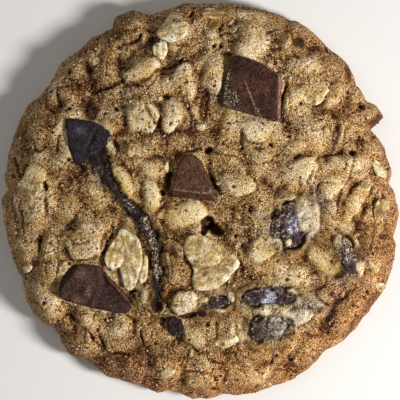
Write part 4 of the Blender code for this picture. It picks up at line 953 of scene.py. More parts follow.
def dough_relief(plain, reach, faces):
    """Height of the dough over the plain dome, its paleness and bareness, and the chocolate rubbed in with
    the painted gap shadows.

    Places are bent by noise first, so that no mound or crease keeps a plain outline.
    """
    x = plain[:, 0] + 1.2 * fractal(plain, 5.0, 11) + 0.2 * fractal(plain, 1.7, 14)
    y = plain[:, 1] + 1.2 * fractal(plain, 5.0, 21) + 0.2 * fractal(plain, 1.7, 24)
    height, tone, bare, valley = melted_lumps(plain, x, y, faces)
    height = cut_creases(height, plain, x, y)
    height = grain_crust(height, plain, bare, valley)
    tone = tone + 0.16 * fractal(plain, 12.0, 41) + 0.12 * fractal(plain, 4.0, 45)
    # Paler and browner stretches: the crumb's own tone, and painted light and painted shade.
    for px, py, length, width, turn, paler in TONE_AND_PAINTED_LIGHT:
        along, across = turned(x, y, px, py, turn)
        tone += paler * np.exp(-((along * 2 / length) ** 2) - (across * 2 / width) ** 2)
    height, tone, cocoa = meet_chocolate(height, tone, plain, x, y)
    height *= 1 - SIDE_FADE * smoothstep(0.9, 1.0, reach)
    return height, tone, bare, cocoa


def side_relief(points):
    """The crags of the side: rounded lumps of two sizes, and fine grain."""
    near, _ = grains(points, 4.6, 101)
    small, _ = grains(points, 1.7, 111)
    return 0.55 * (0.6 - near) + 0.25 * (0.55 - small) + 0.25 * fractal(points, 2.4, 121)


def crease_shade(height, faces):
    """How dark each point is painted for its crease, partly toffee browning and partly painted shade: 0 on
    top of a lump, 1 at the bottom of a crack.

    It comes from the height over what is near, taken over a fine and a broad neighbourhood.
    """
    fine = height - spread_out(height, faces, 4)
    broad = height - spread_out(height, faces, 90)
    shade = 0.44 - 0.34 * broad.clip(0) - 0.30 * broad.clip(None, 0) - 0.3 * fine.clip(0)
    return np.clip(shade - 1.9 * fine.clip(None, 0), 0, 1)


# ---------------------------------------------------------------- meshes


def write_mesh(name, points, faces, finish, smooth=True, **values):
    """A mesh object at the origin from points in millimetres, with its values on each point."""
    mesh = bpy.data.meshes.new(name)
    mesh.from_pydata((np.asarray(points, float) * MM).tolist(), [], np.asarray(faces).tolist())
    for key, numbers in values.items():
        attribute = mesh.attributes.new(key, "FLOAT", "POINT")
        attribute.data.foreach_set("value", np.ascontiguousarray(numbers, dtype=np.float32))
    mesh.polygons.foreach_set("use_smooth", np.full(len(mesh.polygons), smooth))
    mesh.materials.append(finish)
    mesh.validate()
    mesh.update()
    made = bpy.data.objects.new(name, mesh)
    bpy.context.scene.collection.objects.link(made)
    return made


def disc_grid(cells):
    """Radius share and angle of a square grid drawn into a disc, so that its cells stay even."""
    side = np.linspace(-1.0, 1.0, cells + 1)
    a, b = np.meshgrid(side, side, indexing="ij")
    wide = np.abs(a) > np.abs(b)
    big = np.where(wide, a, b)
    ratio = np.where(wide, b, a) / np.where(big == 0, 1.0, big)
    angle = np.where(wide, ratio * math.pi / 4, math.pi / 2 - ratio * math.pi / 4)
    return np.abs(big), np.where(big < 0, angle + math.pi, angle)


def grid_faces(rows, columns):
    """Squares between neighbouring points of a grid, anticlockwise from above."""
    i, j = np.meshgrid(np.arange(rows - 1), np.arange(columns - 1), indexing="ij")
    corner = (i * columns + j).ravel()
    return np.stack((corner, corner + columns, corner + columns + 1, corner + 1), axis=-1)


def grid_rim(cells):
    """Numbers of the outer points of a square grid, once round, anticlockwise from above."""
    across, run = cells + 1, np.arange(cells)
    back = np.arange(cells, 0, -1)
    return np.concatenate((run * across, cells * across + run, back * across + cells, back))


def split(faces):
    """Squares as pairs of triangles."""
    return np.concatenate((faces[:, [0, 1, 2]], faces[:, [0, 2, 3]]))


def ring_faces(upper, lower):
    """Triangles between two rings of point numbers, of which the lower may have half as many."""
    after = np.roll(upper, -1)
    below, below_after = lower, np.roll(lower, -1)
    if len(lower) == len(upper):
        return split(np.stack((upper, after, below_after, below)[::-1], axis=-1))
    first, middle, last = upper[0::2], upper[1::2], np.roll(upper, -2)[0::2]
    return np.concatenate((
        np.stack((first, below, middle), axis=-1),
        np.stack((middle, below, below_after), axis=-1),
        np.stack((middle, below_after, last), axis=-1),
    ))


def under_ring(points, height):
    """A ring of the underside: points, height, paleness, rubbed-in chocolate with painted shadow, and
    browning.
    """
    even = np.ones(len(points))
    return points, height, UNDER_PALENESS * even, 0 * even, UNDER_BROWNING * even


def dough_piece(finish):
    """The dough: the domed top on an even grid, the round side in rings, and the flat underside.

    The side is a quarter ellipse down from the widest ring. The underside's rings shrink to its
    middle, and two of them have half as many points as the ring before.
    """
    share, angle = (grid.ravel() for grid in disc_grid(TOP_CELLS))
    plain, normal, reach = plain_dome(share, angle)
    across = TOP_CELLS + 1
    faces = [split(grid_faces(across, across))]
    relief, tone, bare, cocoa = dough_relief(plain, reach, faces[0])
    crags = side_relief(plain)
    relief += crags * smoothstep(0.93, 1.0, reach) * SIDE_CRAGS
    points = plain + relief[:, None] * normal
    ground = np.column_stack((points, tone, cocoa)).reshape(across, across, 5)
    leaning = BROWNING_LEAN * np.cos(angle + BROWNING_TURN)
    rings = [(points, relief, tone, cocoa, reach + leaning * smoothstep(0.45, 0.8, reach))]
    rim = grid_rim(TOP_CELLS)
    around = angle[rim]
    out = np.column_stack((np.cos(around), np.sin(around), np.zeros_like(around)))
    upper, total = rim, len(points)
    for ring in range(1, SIDE_RINGS + 1):
        step = ring / SIDE_RINGS
        sweep = step * math.pi / 2
        uneven = FOOT_UNEVENNESS + (1 - FOOT_UNEVENNESS) * math.cos(sweep)
        radius = MEAN_RADIUS * (FOOT_SHARE + (1 - FOOT_SHARE) * math.cos(sweep))
        radius = radius + edge_offset(around) * uneven
        z = np.full_like(around, WIDEST_HEIGHT * (1 - math.sin(sweep)))
        spot = np.column_stack((radius * np.cos(around), radius * np.sin(around), z))
        fade = 1 - smoothstep(0.55, 1.0, step)
        rough = (relief[rim] - crags[rim] * SIDE_CRAGS + side_relief(spot) * SIDE_CRAGS) * fade
        spot = spot + rough[:, None] * out * math.cos(sweep)
        paler = tone[rim] + (FOOT_PALENESS - tone[rim]) * step
        browner = 1.0 + leaning[rim] + FOOT_BROWNING * step
        rings.append((spot, rough, paler, cocoa[rim] * fade, browner))
        lower = total + np.arange(len(rim))
        faces.append(ring_faces(upper, lower))
        upper, total = lower, total + len(lower)
    foot = spot[:, :2]
    for ring, share in enumerate(UNDER_RINGS):
        foot = foot[0::2] if ring in HALVED_RINGS else foot
        level = np.column_stack((foot * share, np.zeros(len(foot))))
        level[:, 2] = UNDER_BUMPS * np.clip(fractal(level, 2.6, 131), 0, 1)
        rings.append(under_ring(level, -level[:, 2] * 2))
        lower = total + np.arange(len(level))
        faces.append(ring_faces(upper, lower))
        upper, total = lower, total + len(lower)
    rings.append(under_ring(np.array([[0.0, 0.0, UNDER_MIDDLE]]), np.zeros(1)))
    faces.append(np.stack((np.roll(upper, -1), upper, np.full(len(upper), total)), axis=-1))
    points, height, tone, cocoa, browned = (np.concatenate(column) for column in zip(*rings))
    faces = np.concatenate(faces)
    made = write_mesh(
        "baked_dough", points, faces, finish, shade=crease_shade(height, faces), tone=tone.clip(0, 1),
        cocoa=cocoa, browning=browned, bare=np.concatenate((bare, np.zeros(len(points) - len(bare)))),
        ashen=patches(points[:, 0], points[:, 1], ASHEN_AND_SHEEN),
    )
    return made, ground


def ground_at(ground, share, angle):
    """Point, paleness, and rubbed-in chocolate with painted shadow, of the finished dough at a radius
    share and angle.

    A quarter of the disc is a quarter of the square grid, so the place on the grid is the share along
    the quarter's axis and the lean from that axis across it.
    """
    quarter = np.round(angle / (math.pi / 2))
    lean = (angle - quarter * math.pi / 2) * 4 / math.pi
    place = share * (1 + 1j * lean) * np.exp(0.5j * math.pi * quarter)
    at = (np.stack((place.real, place.imag)) + 1) / 2 * TOP_CELLS
    corner = np.clip(np.floor(at), 0, TOP_CELLS - 1).astype(int)
    i, j = corner
    u, v = (at - corner)[..., None]
    low = ground[i, j] * (1 - u) + ground[i + 1, j] * u
    high = ground[i, j + 1] * (1 - u) + ground[i + 1, j + 1] * u
    found = low * (1 - v) + high * v
    return found[:, :3], found[:, 3], found[:, 4]


def axes_on(normal, turn):
    """Two directions along the surface at right angles, the first turned by an angle from +X."""
    along = np.column_stack((np.cos(turn), np.sin(turn), np.zeros_like(turn)))
    along -= (along * normal).sum(axis=1, keepdims=True) * normal
    along /= np.linalg.norm(along, axis=1, keepdims=True)
    return along, np.cross(normal, along)


def lens_faces(rings, around, count):
    """Triangles of many closed lenses, each a top pole, some rings, and a bottom pole."""
    size = rings * around + 2
    turn = np.arange(around)
    after = (turn + 1) % around
    parts = [np.stack((np.zeros(around, int), 1 + turn, 1 + after), axis=-1)]
    for ring in range(rings - 1):
        upper, lower = 1 + ring * around, 1 + (ring + 1) * around
        parts.append(split(np.stack((upper + turn, lower + turn, lower + after, upper + after), axis=-1)))
    low = 1 + (rings - 1) * around
    parts.append(np.stack((low + after, low + turn, np.full(around, size - 1)), axis=-1))
    one = np.concatenate(parts)
    return (one[None] + (np.arange(count) * size)[:, None, None]).reshape(-1, 3)


def flake_shells(name, rows, around, finish, ground, seed):
    """Rolled oats as thin curled shells in one mesh.

    A flake is a top pole, rings out to its rim and back underneath: radius times an uneven oval, with
    a dished middle, a rim that curls up, and fine grooves along its length.
    """
    draw = np.random.default_rng(seed)
    rows = np.array(rows)
    count = len(rows)
    x, y, length, width, turn, lift, pale_middle, pale_rim = rows.T
    share, angle = share_at(np.hypot(x, y)), np.arctan2(y, x)
    _, normal, _ = plain_dome(share, angle)
    spot, _, _ = ground_at(ground, share, angle)
    lean = draw.uniform(-FLAKE_LEAN, FLAKE_LEAN, (count, 2))
    normal = normal + np.column_stack((lean, np.zeros(count)))
    normal /= np.linalg.norm(normal, axis=1, keepdims=True)
    along, aside = axes_on(normal, np.radians(turn))
    sweep = np.arange(around) / around * 2 * math.pi
    wave = draw.uniform(0, 2 * math.pi, (count, 3))
    uneven = 1 + 0.08 * np.sin(2 * sweep + wave[:, :1]) + 0.10 * np.sin(3 * sweep + wave[:, 1:2])
    uneven += 0.04 * np.sin(5 * sweep + wave[:, 2:]) + 0.02 * np.sin(9 * sweep + wave[:, :1])
    reach, level = (column[None, :, None] for column in np.array(FLAKE_PROFILE).T)
    u = reach * uneven[:, None] * np.cos(sweep) * length[:, None, None] / 2
    v = reach * uneven[:, None] * np.sin(sweep) * width[:, None, None] / 2
    curl = (FLAKE_CURL * width)[:, None, None] * (reach**2 - 0.35)
    bend = curl * (1 + 0.5 * np.sin(sweep * 2 + wave[:, :1])[:, None])
    groove = GROOVE_DEPTH * np.sin(v * GROOVE_TURNS + 0.9 * np.sin(u * 1.1)) * (level > 0)
    over = level * FLAKE_THICKNESS + bend + groove + (lift * FLAKE_LIFT)[:, None, None]
    body = spot[:, None, None] + u[..., None] * along[:, None, None] + v[..., None] * aside[:, None, None]
    body = body + over[..., None] * normal[:, None, None]
    rise = 0.6 * FLAKE_THICKNESS - 0.35 * FLAKE_CURL * width + lift * FLAKE_LIFT
    top = spot + normal * rise[:, None]
    low = spot - normal * 0.5 * FLAKE_THICKNESS
    points = np.concatenate((top[:, None], body.reshape(count, -1, 3), low[:, None]), axis=1)
    pale = pale_middle[:, None] + (pale_rim - pale_middle)[:, None] * smoothstep(0.62, 0.98, reach[..., 0])
    tone = np.repeat(pale, around, axis=1) + 0.06 * np.tile(np.sin(sweep * 9), reach.size)[None]
    tone = np.concatenate((pale_middle[:, None], tone, pale_middle[:, None]), axis=1)
    faces = lens_faces(reach.size, around, count)
    shape = points.reshape(-1, 3)
    shape = shape + 0.16 * fractal(shape, 1.6, 141)[:, None] * np.array([0, 0, 1.0])
    return write_mesh(name, shape, faces, finish, tone=np.clip(tone, 0, 1).ravel())


def oat_bits(seed):
    """Rows for small broken oats, thrown evenly over the top but not on the chocolate."""
    draw = np.random.default_rng(seed)
    radius = 0.95 * MEAN_RADIUS * np.sqrt(draw.uniform(0, 1, OAT_BITS * 2))
    angle = draw.uniform(0, 2 * math.pi, OAT_BITS * 2)
    x, y = radius * np.cos(angle), radius * np.sin(angle)
    keep = np.flatnonzero(clear_of_chocolate(x, y) > 1.6)[:OAT_BITS]
    x, y = x[keep], y[keep]
    length = draw.uniform(1.5, 3.6, len(x))
    width = length * draw.uniform(0.45, 0.8, len(x))
    turn = draw.uniform(0, 180, len(x))
    pale = draw.uniform(0.3, 0.7, len(x))
    return np.column_stack((x, y, length, width, turn, np.full(len(x), -0.4), pale, pale + 0.12))


def crumb_piece(finish, ground, seed):
    """Crumbs: small rough twenty-sided lumps pressed into the crust, each stretched and turned."""
    draw = np.random.default_rng(seed)
    share = np.sqrt(draw.uniform(0.0, 1.0, CRUMBS)) * 0.97
    angle = draw.uniform(0, 2 * math.pi, CRUMBS)
    plain, normal, reach = plain_dome(share, angle)
    spot, tone, cocoa = ground_at(ground, share, angle)
    keep = clear_of_chocolate(plain[:, 0], plain[:, 1], 1.2) > 0.5
    spot, normal, tone, cocoa, reach = (a[keep] for a in (spot, normal, tone, cocoa, reach))
    count, corners = len(spot), len(LUMP_CORNERS)
    ball = np.array(LUMP_CORNERS) / math.hypot(1, GOLDEN_RATIO)
    size = CRUMB_SIZE + CRUMB_SPREAD * draw.uniform(0, 1, count) ** 3
    stretch = draw.uniform(0.7, 1.35, (count, 1, 3))
    dent = draw.uniform(0.75, 1.2, (count, corners, 1))
    turn = draw.uniform(0, 2 * math.pi, count)
    along, aside = axes_on(normal, turn)
    local = ball[None] * stretch * dent * size[:, None, None]
    body = local[..., :1] * along[:, None] + local[..., 1:2] * aside[:, None]
    body = body + local[..., 2:] * normal[:, None] * 0.8
    spot = spot + normal * (size * 0.25)[:, None]
    points = (spot[:, None] + body).reshape(-1, 3)
    faces = (np.array(LUMP_SIDES)[None] + (np.arange(count) * corners)[:, None, None]).reshape(-1, 3)
    pale = np.clip(tone + draw.uniform(-0.35, 0.45, count), 0, 1)
    shade = np.clip(0.35 + draw.uniform(-0.25, 0.4, count), 0, 1)
    none = np.zeros(count)
    looks = {"tone": pale, "shade": shade, "cocoa": cocoa, "browning": reach, "bare": none, "ashen": none}
    looks = {key: np.repeat(numbers, corners) for key, numbers in looks.items()}
    return write_mesh("crust_crumbs", points, faces, finish, **looks)


def polar_piece(name, middle, edge, heights, floor, finish, around, flare=CHUNK_FLARE, overlap=0.0):
    """A closed lump over an outline: rings from its middle to the edge, then down its side to a floor.

    edge(angle) gives the outline's radius and heights(x, y, inside) the top's height, where inside is
    the distance in from the edge. Crumb lies over the edge as strongly as the overlap says.
    """
    angle = np.arange(around) / around * 2 * math.pi
    share = 1 - np.linspace(1.0, 0.0, TOP_RINGS + 1)[1:] ** 1.5
    radius = edge(angle)
    u, a = np.meshgrid(share, angle, indexing="ij")
    r = u * radius[None]
    x, y = middle[0] + r * np.cos(a), middle[1] + r * np.sin(a)
    from_edge = radius[None] * (1 - u)
    z, pale = heights(x, y, from_edge)
    rings, tones = [np.stack((x, y, z), axis=-1)], [pale]
    for step in SIDE_STEPS:
        out = radius + flare * step
        low = z[-1] + (floor - z[-1]) * step
        x, y = middle[0] + out * np.cos(angle), middle[1] + out * np.sin(angle)
        rings.append(np.stack((x, y, low), axis=-1)[None])
        tones.append(pale[-1:] * (1 - step))
    body = np.concatenate(rings)
    body = body + 0.05 * fractal(body, 1.6, 151)[..., None] * np.array([0.6, 0.6, 1.0])
    peak, peak_pale = heights(*np.array((*middle, FAR_IN))[:, None, None])
    points = np.concatenate(([[*middle, peak[0, 0]]], body.reshape(-1, 3), [[*middle, floor]]))
    tone = np.concatenate((peak_pale.ravel(), np.concatenate(tones).ravel(), [0.0]))
    inside = np.concatenate(([FAR_IN], from_edge.ravel(), np.zeros(around * len(SIDE_STEPS) + 1)))
    x, y = points[:, 0], points[:, 1]
    stray = 1.5 * fractal(points, 2.6, 153) + 0.5 * fractal(points, 0.9, 163)
    # Painted sheen: pale patches of highlight and reflection, frayed by noise.
    bloomed = patches(x + stray, y - stray, PAINTED_SHEEN, 1.6) * (0.9 + 0.9 * fractal(points, 0.8, 159))
    border = 1.5 * overlap * (1 - smoothstep(0.0, 2.0, inside + 1.2 * fractal(points, 2.2, 155)))
    strewn = overlap * (0.35 + 1.3 * fractal(points, 2.0, 157))
    dusted = patches(x - stray, y + stray, DUSTED, 1.4)
    crumb = np.clip(np.maximum(np.maximum(dusted, border), strewn), 0, 1)
    crumb *= 1 - 0.6 * bloomed.clip(0, 1)
    bloom = np.clip(np.maximum(tone, bloomed), 0, 1)
    return write_mesh(name, points, lens_faces(len(body), around, 1), finish, bloom=bloom, crumb=crumb)


def chunk_piece(name, finish):
    """A broken chunk: a tilted top with rounded edges, cut by its bevels and marked by its scratches, with
    painted highlights and painted shade in their paleness.
    """
    corners, proud, climb_x, climb_y = CHUNKS[name]
    middle, directions, distances = chunk_edges(corners)
    base = float(crown_height(*middle)) + proud

    def edge(angle):
        """The straight-sided outline, a little rough."""
        spot = np.column_stack((middle + np.column_stack((np.cos(angle), np.sin(angle))) * 6, angle * 0))
        return outline_radius(angle, directions, distances) + 0.10 * fractal(spot, 1.8, 161)

    def heights(x, y, inside):
        """A tilted plane less the cuts, with the marks as bell curves and a quarter-round edge; the
        paleness of cuts and marks holds painted highlights and painted shade.
        """
        spot = np.stack((x, y, x * 0), axis=-1)
        z = base + climb_x * (x - middle[0]) + climb_y * (y - middle[1])
        z = z + 0.16 * fractal(spot, 4.0, 171) + 0.12 * fractal(spot, 1.2, 175)
        pale = 0.12 + 0.2 * fractal(spot, 3.0, 181) + 0.16 * noise(spot, 0.9, 185)
        for x0, y0, x1, y1, slope, reach, mark in CUTS[name]:
            run = math.hypot(x1 - x0, y1 - y0)
            right = ((x - x0) * (y1 - y0) - (y - y0) * (x1 - x0)) / run
            z = z - slope * np.minimum(0.12 * np.logaddexp(0, right / 0.12), reach)
            pale = pale + mark * smoothstep(0.05, 0.3, right)
        for x0, y0, x1, y1, width, rise, mark in MARKS[name]:
            far, share = from_line(x, y, x0, y0, x1, y1)
            line = np.exp(-((far / (width * 0.5)) ** 2)) * (1 - 0.8 * np.abs(2 * share - 1) ** 3)
            z = z + rise * line
            pale = pale + (mark - 0.12) * line
        near = np.clip(inside / CHUNK_BEVEL, 0, 1)
        z = z - CHUNK_BEVEL * (1 - np.sqrt(1 - (1 - near) ** 2))
        return z, np.clip(pale + 0.12 * (1 - near), 0, 1)

    floor = base - CHUNK_DEPTH
    made = polar_piece(name + "_snapped", middle, edge, heights, floor, finish, CHUNK_SIDES)
    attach(made, "root")
    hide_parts(name)
    return made


def pool_piece(name, finish, seed):
    """A pool of chocolate half under the dough: a low uneven dome over an uneven oval."""
    px, py, length, width, turn, proud = POOLS[name]
    middle = np.array((px, py))
    base = float(crown_height(px, py)) + proud

    def edge(angle):
        """The oval, a little uneven."""
        spot = np.column_stack((np.cos(angle), np.sin(angle), angle * 0)) * 3
        return oval_radius(angle, length, width, turn) * (0.97 + 0.16 * fractal(spot, 1.7, seed))

    def heights(x, y, inside):
        """A quarter-round rise from the edge to a flat middle, rough with grains where crumb lies."""
        spot = np.stack((x, y, x * 0), axis=-1)
        far = np.clip(inside / (width * 0.42), 0, 1)
        z = base - POOL_SAG * (1 - np.sqrt(1 - (1 - far) ** 2))
        heap = patches(x, y, DUSTED, 1.1)
        near, _ = grains(spot, 1.1, seed + 3)
        z = z + 0.8 * fractal(spot, 2.2, seed + 5) + (0.25 + 0.3 * heap) * (0.6 - near) + 0.2 * heap
        return z, np.clip(0.1 + 0.5 * fractal(spot, 1.4, seed + 13), 0, 1)

    floor = base - POOL_DEPTH
    made = polar_piece(name + "_melted", middle, edge, heights, floor, finish, POOL_SIDES, 0.0, 0.55)
    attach(made, "root")
    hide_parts(name)
    return made


def streak_piece(finish):
    """The melted streak: a flattened round section carried along its line, rough with crumb on top.

    Its width is uneven along each bank, and ridges run along it as the chocolate was drawn out.
    """
    line = streak_line(STREAK_STEPS)
    ahead = np.gradient(line[:, :2], axis=0)
    ahead /= np.hypot(*ahead.T)[:, None]
    aside = np.stack((ahead[:, 1], -ahead[:, 0]), axis=-1)
    sweep = np.arange(STREAK_SIDES) / STREAK_SIDES * 2 * math.pi
    across, upwards = np.cos(sweep), np.sin(sweep)
    step = np.arange(STREAK_STEPS)
    ends = np.clip(np.minimum(step, step[::-1]) / 6, 0, 1)
    ends = np.sqrt(np.clip(1 - (1 - ends) ** 2, 0.02, 1))
    half = STREAK_THICKNESS / 2
    sunk = 0.35 * (1 - smoothstep(0.0, 40.0, step))
    level = crown_height(line[:, 0], line[:, 1]) + STREAK_PROUD - half - sunk
    banks = np.column_stack((line[:, :2], line[:, 2] * 0))
    right, left = fractal(banks, 2.6, 201)[:, None], fractal(banks, 2.6, 205)[:, None]
    ragged = 1 + 0.22 * np.where(across > 0, right, left)
    wide = (line[:, 2] / 2 * STREAK_RUN * ends)[:, None] * np.sign(across) * np.abs(across) ** 0.8
    wide = wide * ragged
    tall = (half * ends)[:, None] * upwards
    x = line[:, :1] + aside[:, :1] * wide
    y = line[:, 1:2] + aside[:, 1:] * wide
    body = np.stack((x, y, level[:, None] + tall), axis=-1)
    up = np.clip(upwards, 0, 1)[None]
    near, _ = grains(body, 1.0, 191)
    inner = 1 - np.abs(across)[None] ** 6
    crumb = patches(x, y, DUSTED, 1.1) * inner + 0.35 * fractal(body, 2.6, 193)
    crumb = np.clip(crumb, 0, 1) * np.sqrt(up)
    lump = (0.14 + 0.4 * crumb) * (0.55 - near) + 0.35 * fractal(body, 2.4, 195) + 0.3 * crumb
    along = np.linspace(0.0, STREAK_LENGTH, len(line))[:, None]
    ridges = fractal(np.stack((along / RIDGE_STRETCH + x * 0, wide, x * 0), axis=-1), 0.7, 199, 2)
    body[..., 2] += (lump + 0.3 * ridges * (1 - crumb)) * up
    bloom = np.clip(0.15 + 0.6 * ridges + 0.4 * fractal(body, 1.8, 197), 0, 1) * up
    tip, tail = np.column_stack((line[:, :2], level))[[0, -1]]
    points = np.concatenate(([tip], body.reshape(-1, 3), [tail]))
    faces = lens_faces(len(line), STREAK_SIDES, 1)
    bloom, crumb = (np.concatenate(([0], values.ravel(), [0])) for values in (bloom, crumb))
    made = write_mesh("melted_chocolate_ribbon", points, faces, finish, bloom=bloom, crumb=crumb)
    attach(made, "root")
    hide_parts("melted_chocolate_streak")
    return made


# ---------------------------------------------------------------- finishes


def linear(code):
    """An sRGB hex colour as linear values."""
    parts = [int(code[i : i + 2], 16) / 255 for i in (1, 3, 5)]
    parts = [p / 12.92 if p <= 0.04045 else ((p + 0.055) / 1.055) ** 2.4 for p in parts]
    return (*parts, 1.0)


def feed(tree, node, inputs):
    """Gives a node's inputs, by name or in order, a number, a colour or what another node puts out."""
    ready = [socket for socket in node.inputs if socket.enabled]
    for key, value in inputs.items() if isinstance(inputs, dict) else enumerate(inputs):
        socket = node.inputs[key] if isinstance(key, str) else ready[key]
        if isinstance(value, bpy.types.Node):
            value = next(output for output in value.outputs if output.enabled)
        if isinstance(value, bpy.types.NodeSocket):
            tree.links.new(value, socket)
        else:
            socket.default_value = value


def add(tree, kind, inputs=(), stops=(), **settings):
    """A node of a kind with its settings, its inputs, and a colour ramp's (place, hex colour) stops."""
    node = tree.nodes.new("ShaderNode" + kind)
    for key, value in settings.items():
        setattr(node, key, value)
    for _ in stops[2:]:
        node.color_ramp.elements.new(0.5)
    for number, (place, code) in enumerate(stops):
        node.color_ramp.elements[number].position = place
        node.color_ramp.elements[number].color = linear(code)
    feed(tree, node, inputs)
    return node


def new_finish(name):
    """An empty material: itself, its nodes, its shader and the piece's own coordinates."""
    made = bpy.data.materials.new(name)
    made.use_nodes = True
    tree = made.node_tree
    return made, tree, tree.nodes["Principled BSDF"], add(tree, "TexCoord").outputs["Object"]


def pattern(place, size, **settings):
    """Inputs for a pattern whose grains or cells are about a size in millimetres."""
    return {"Vector": place, "Scale": 1 / (size * MM), **settings}


def weighed(tree, base, *terms, clamp=False):
    """A base plus some patterns, each less its middle value and times its weight."""
    for source, middle, weight in terms:
        if middle:
            source = add(tree, "Math", (source, middle), operation="SUBTRACT")
        base = add(tree, "Math", (source, weight, base), operation="MULTIPLY_ADD")
    base.use_clamp = clamp
    return base


def pricked(tree, place, size, steepness, width, rarity):
    """Pinholes: a steep cone round the middle of each cell of a size, kept where its number is high."""
    cells = add(tree, "TexVoronoi", pattern(place, size))
    cone = weighed(tree, width, (cells, 0, -steepness), clamp=True)
    kept = add(tree, "Math", (cells.outputs["Color"], rarity), operation="GREATER_THAN")
    return add(tree, "Math", (cone, kept), operation="MULTIPLY")


def buttered(tree, place, colour, code, size, steepness, start, least, more):
    """A colour with soft patches of a size that butter has stained: there it is times a hex colour."""
    patch = add(tree, "TexNoise", pattern(place, size, Detail=2.0, Roughness=0.6))
    share = weighed(tree, start, (patch, 0.5, steepness), clamp=True)
    stained = add(tree, "Mix", (1.0, colour, linear(code)), data_type="RGBA", blend_type="MULTIPLY")
    return add(tree, "Mix", (weighed(tree, least, (share, 0, more)), colour, stained), data_type="RGBA")


def grainy(tree, colour, grain, strength, middle=1.0):
    """A colour made lighter and darker by a grain."""
    factor = weighed(tree, middle, (grain, 0, strength))
    return add(tree, "VectorMath", (colour, factor), operation="MULTIPLY")


def sprinkled(tree, colour, amount):
    """A colour with a neutral share of its own brightness added, never below black."""
    extra = add(tree, "Math", (add(tree, "RGBToBW", (colour,)), amount), operation="MULTIPLY")
    total = add(tree, "VectorMath", (colour, extra), operation="ADD")
    return add(tree, "VectorMath", (total,), operation="MAXIMUM")


def mottled(tree, share, fine, tint):
    """A share turned into specks: the more of it, the more of the surface they cover."""
    place = weighed(tree, share, (fine, 0.5, 1.5), (tint, 0.5, 0.9))
    return weighed(tree, -0.95, (place, 0, 2.2), clamp=True)


def surfaced(tree, shader, layers, inputs):
    """Feeds a shader, with bumps on bumps: each a pattern, its strength and its height in millimetres."""
    under = {}
    for source, strength, height in layers:
        layer = {"Height": source, "Strength": strength, "Distance": height * MM, **under}
        under = {"Normal": add(tree, "Bump", layer)}
    feed(tree, shader, {**inputs, **under})


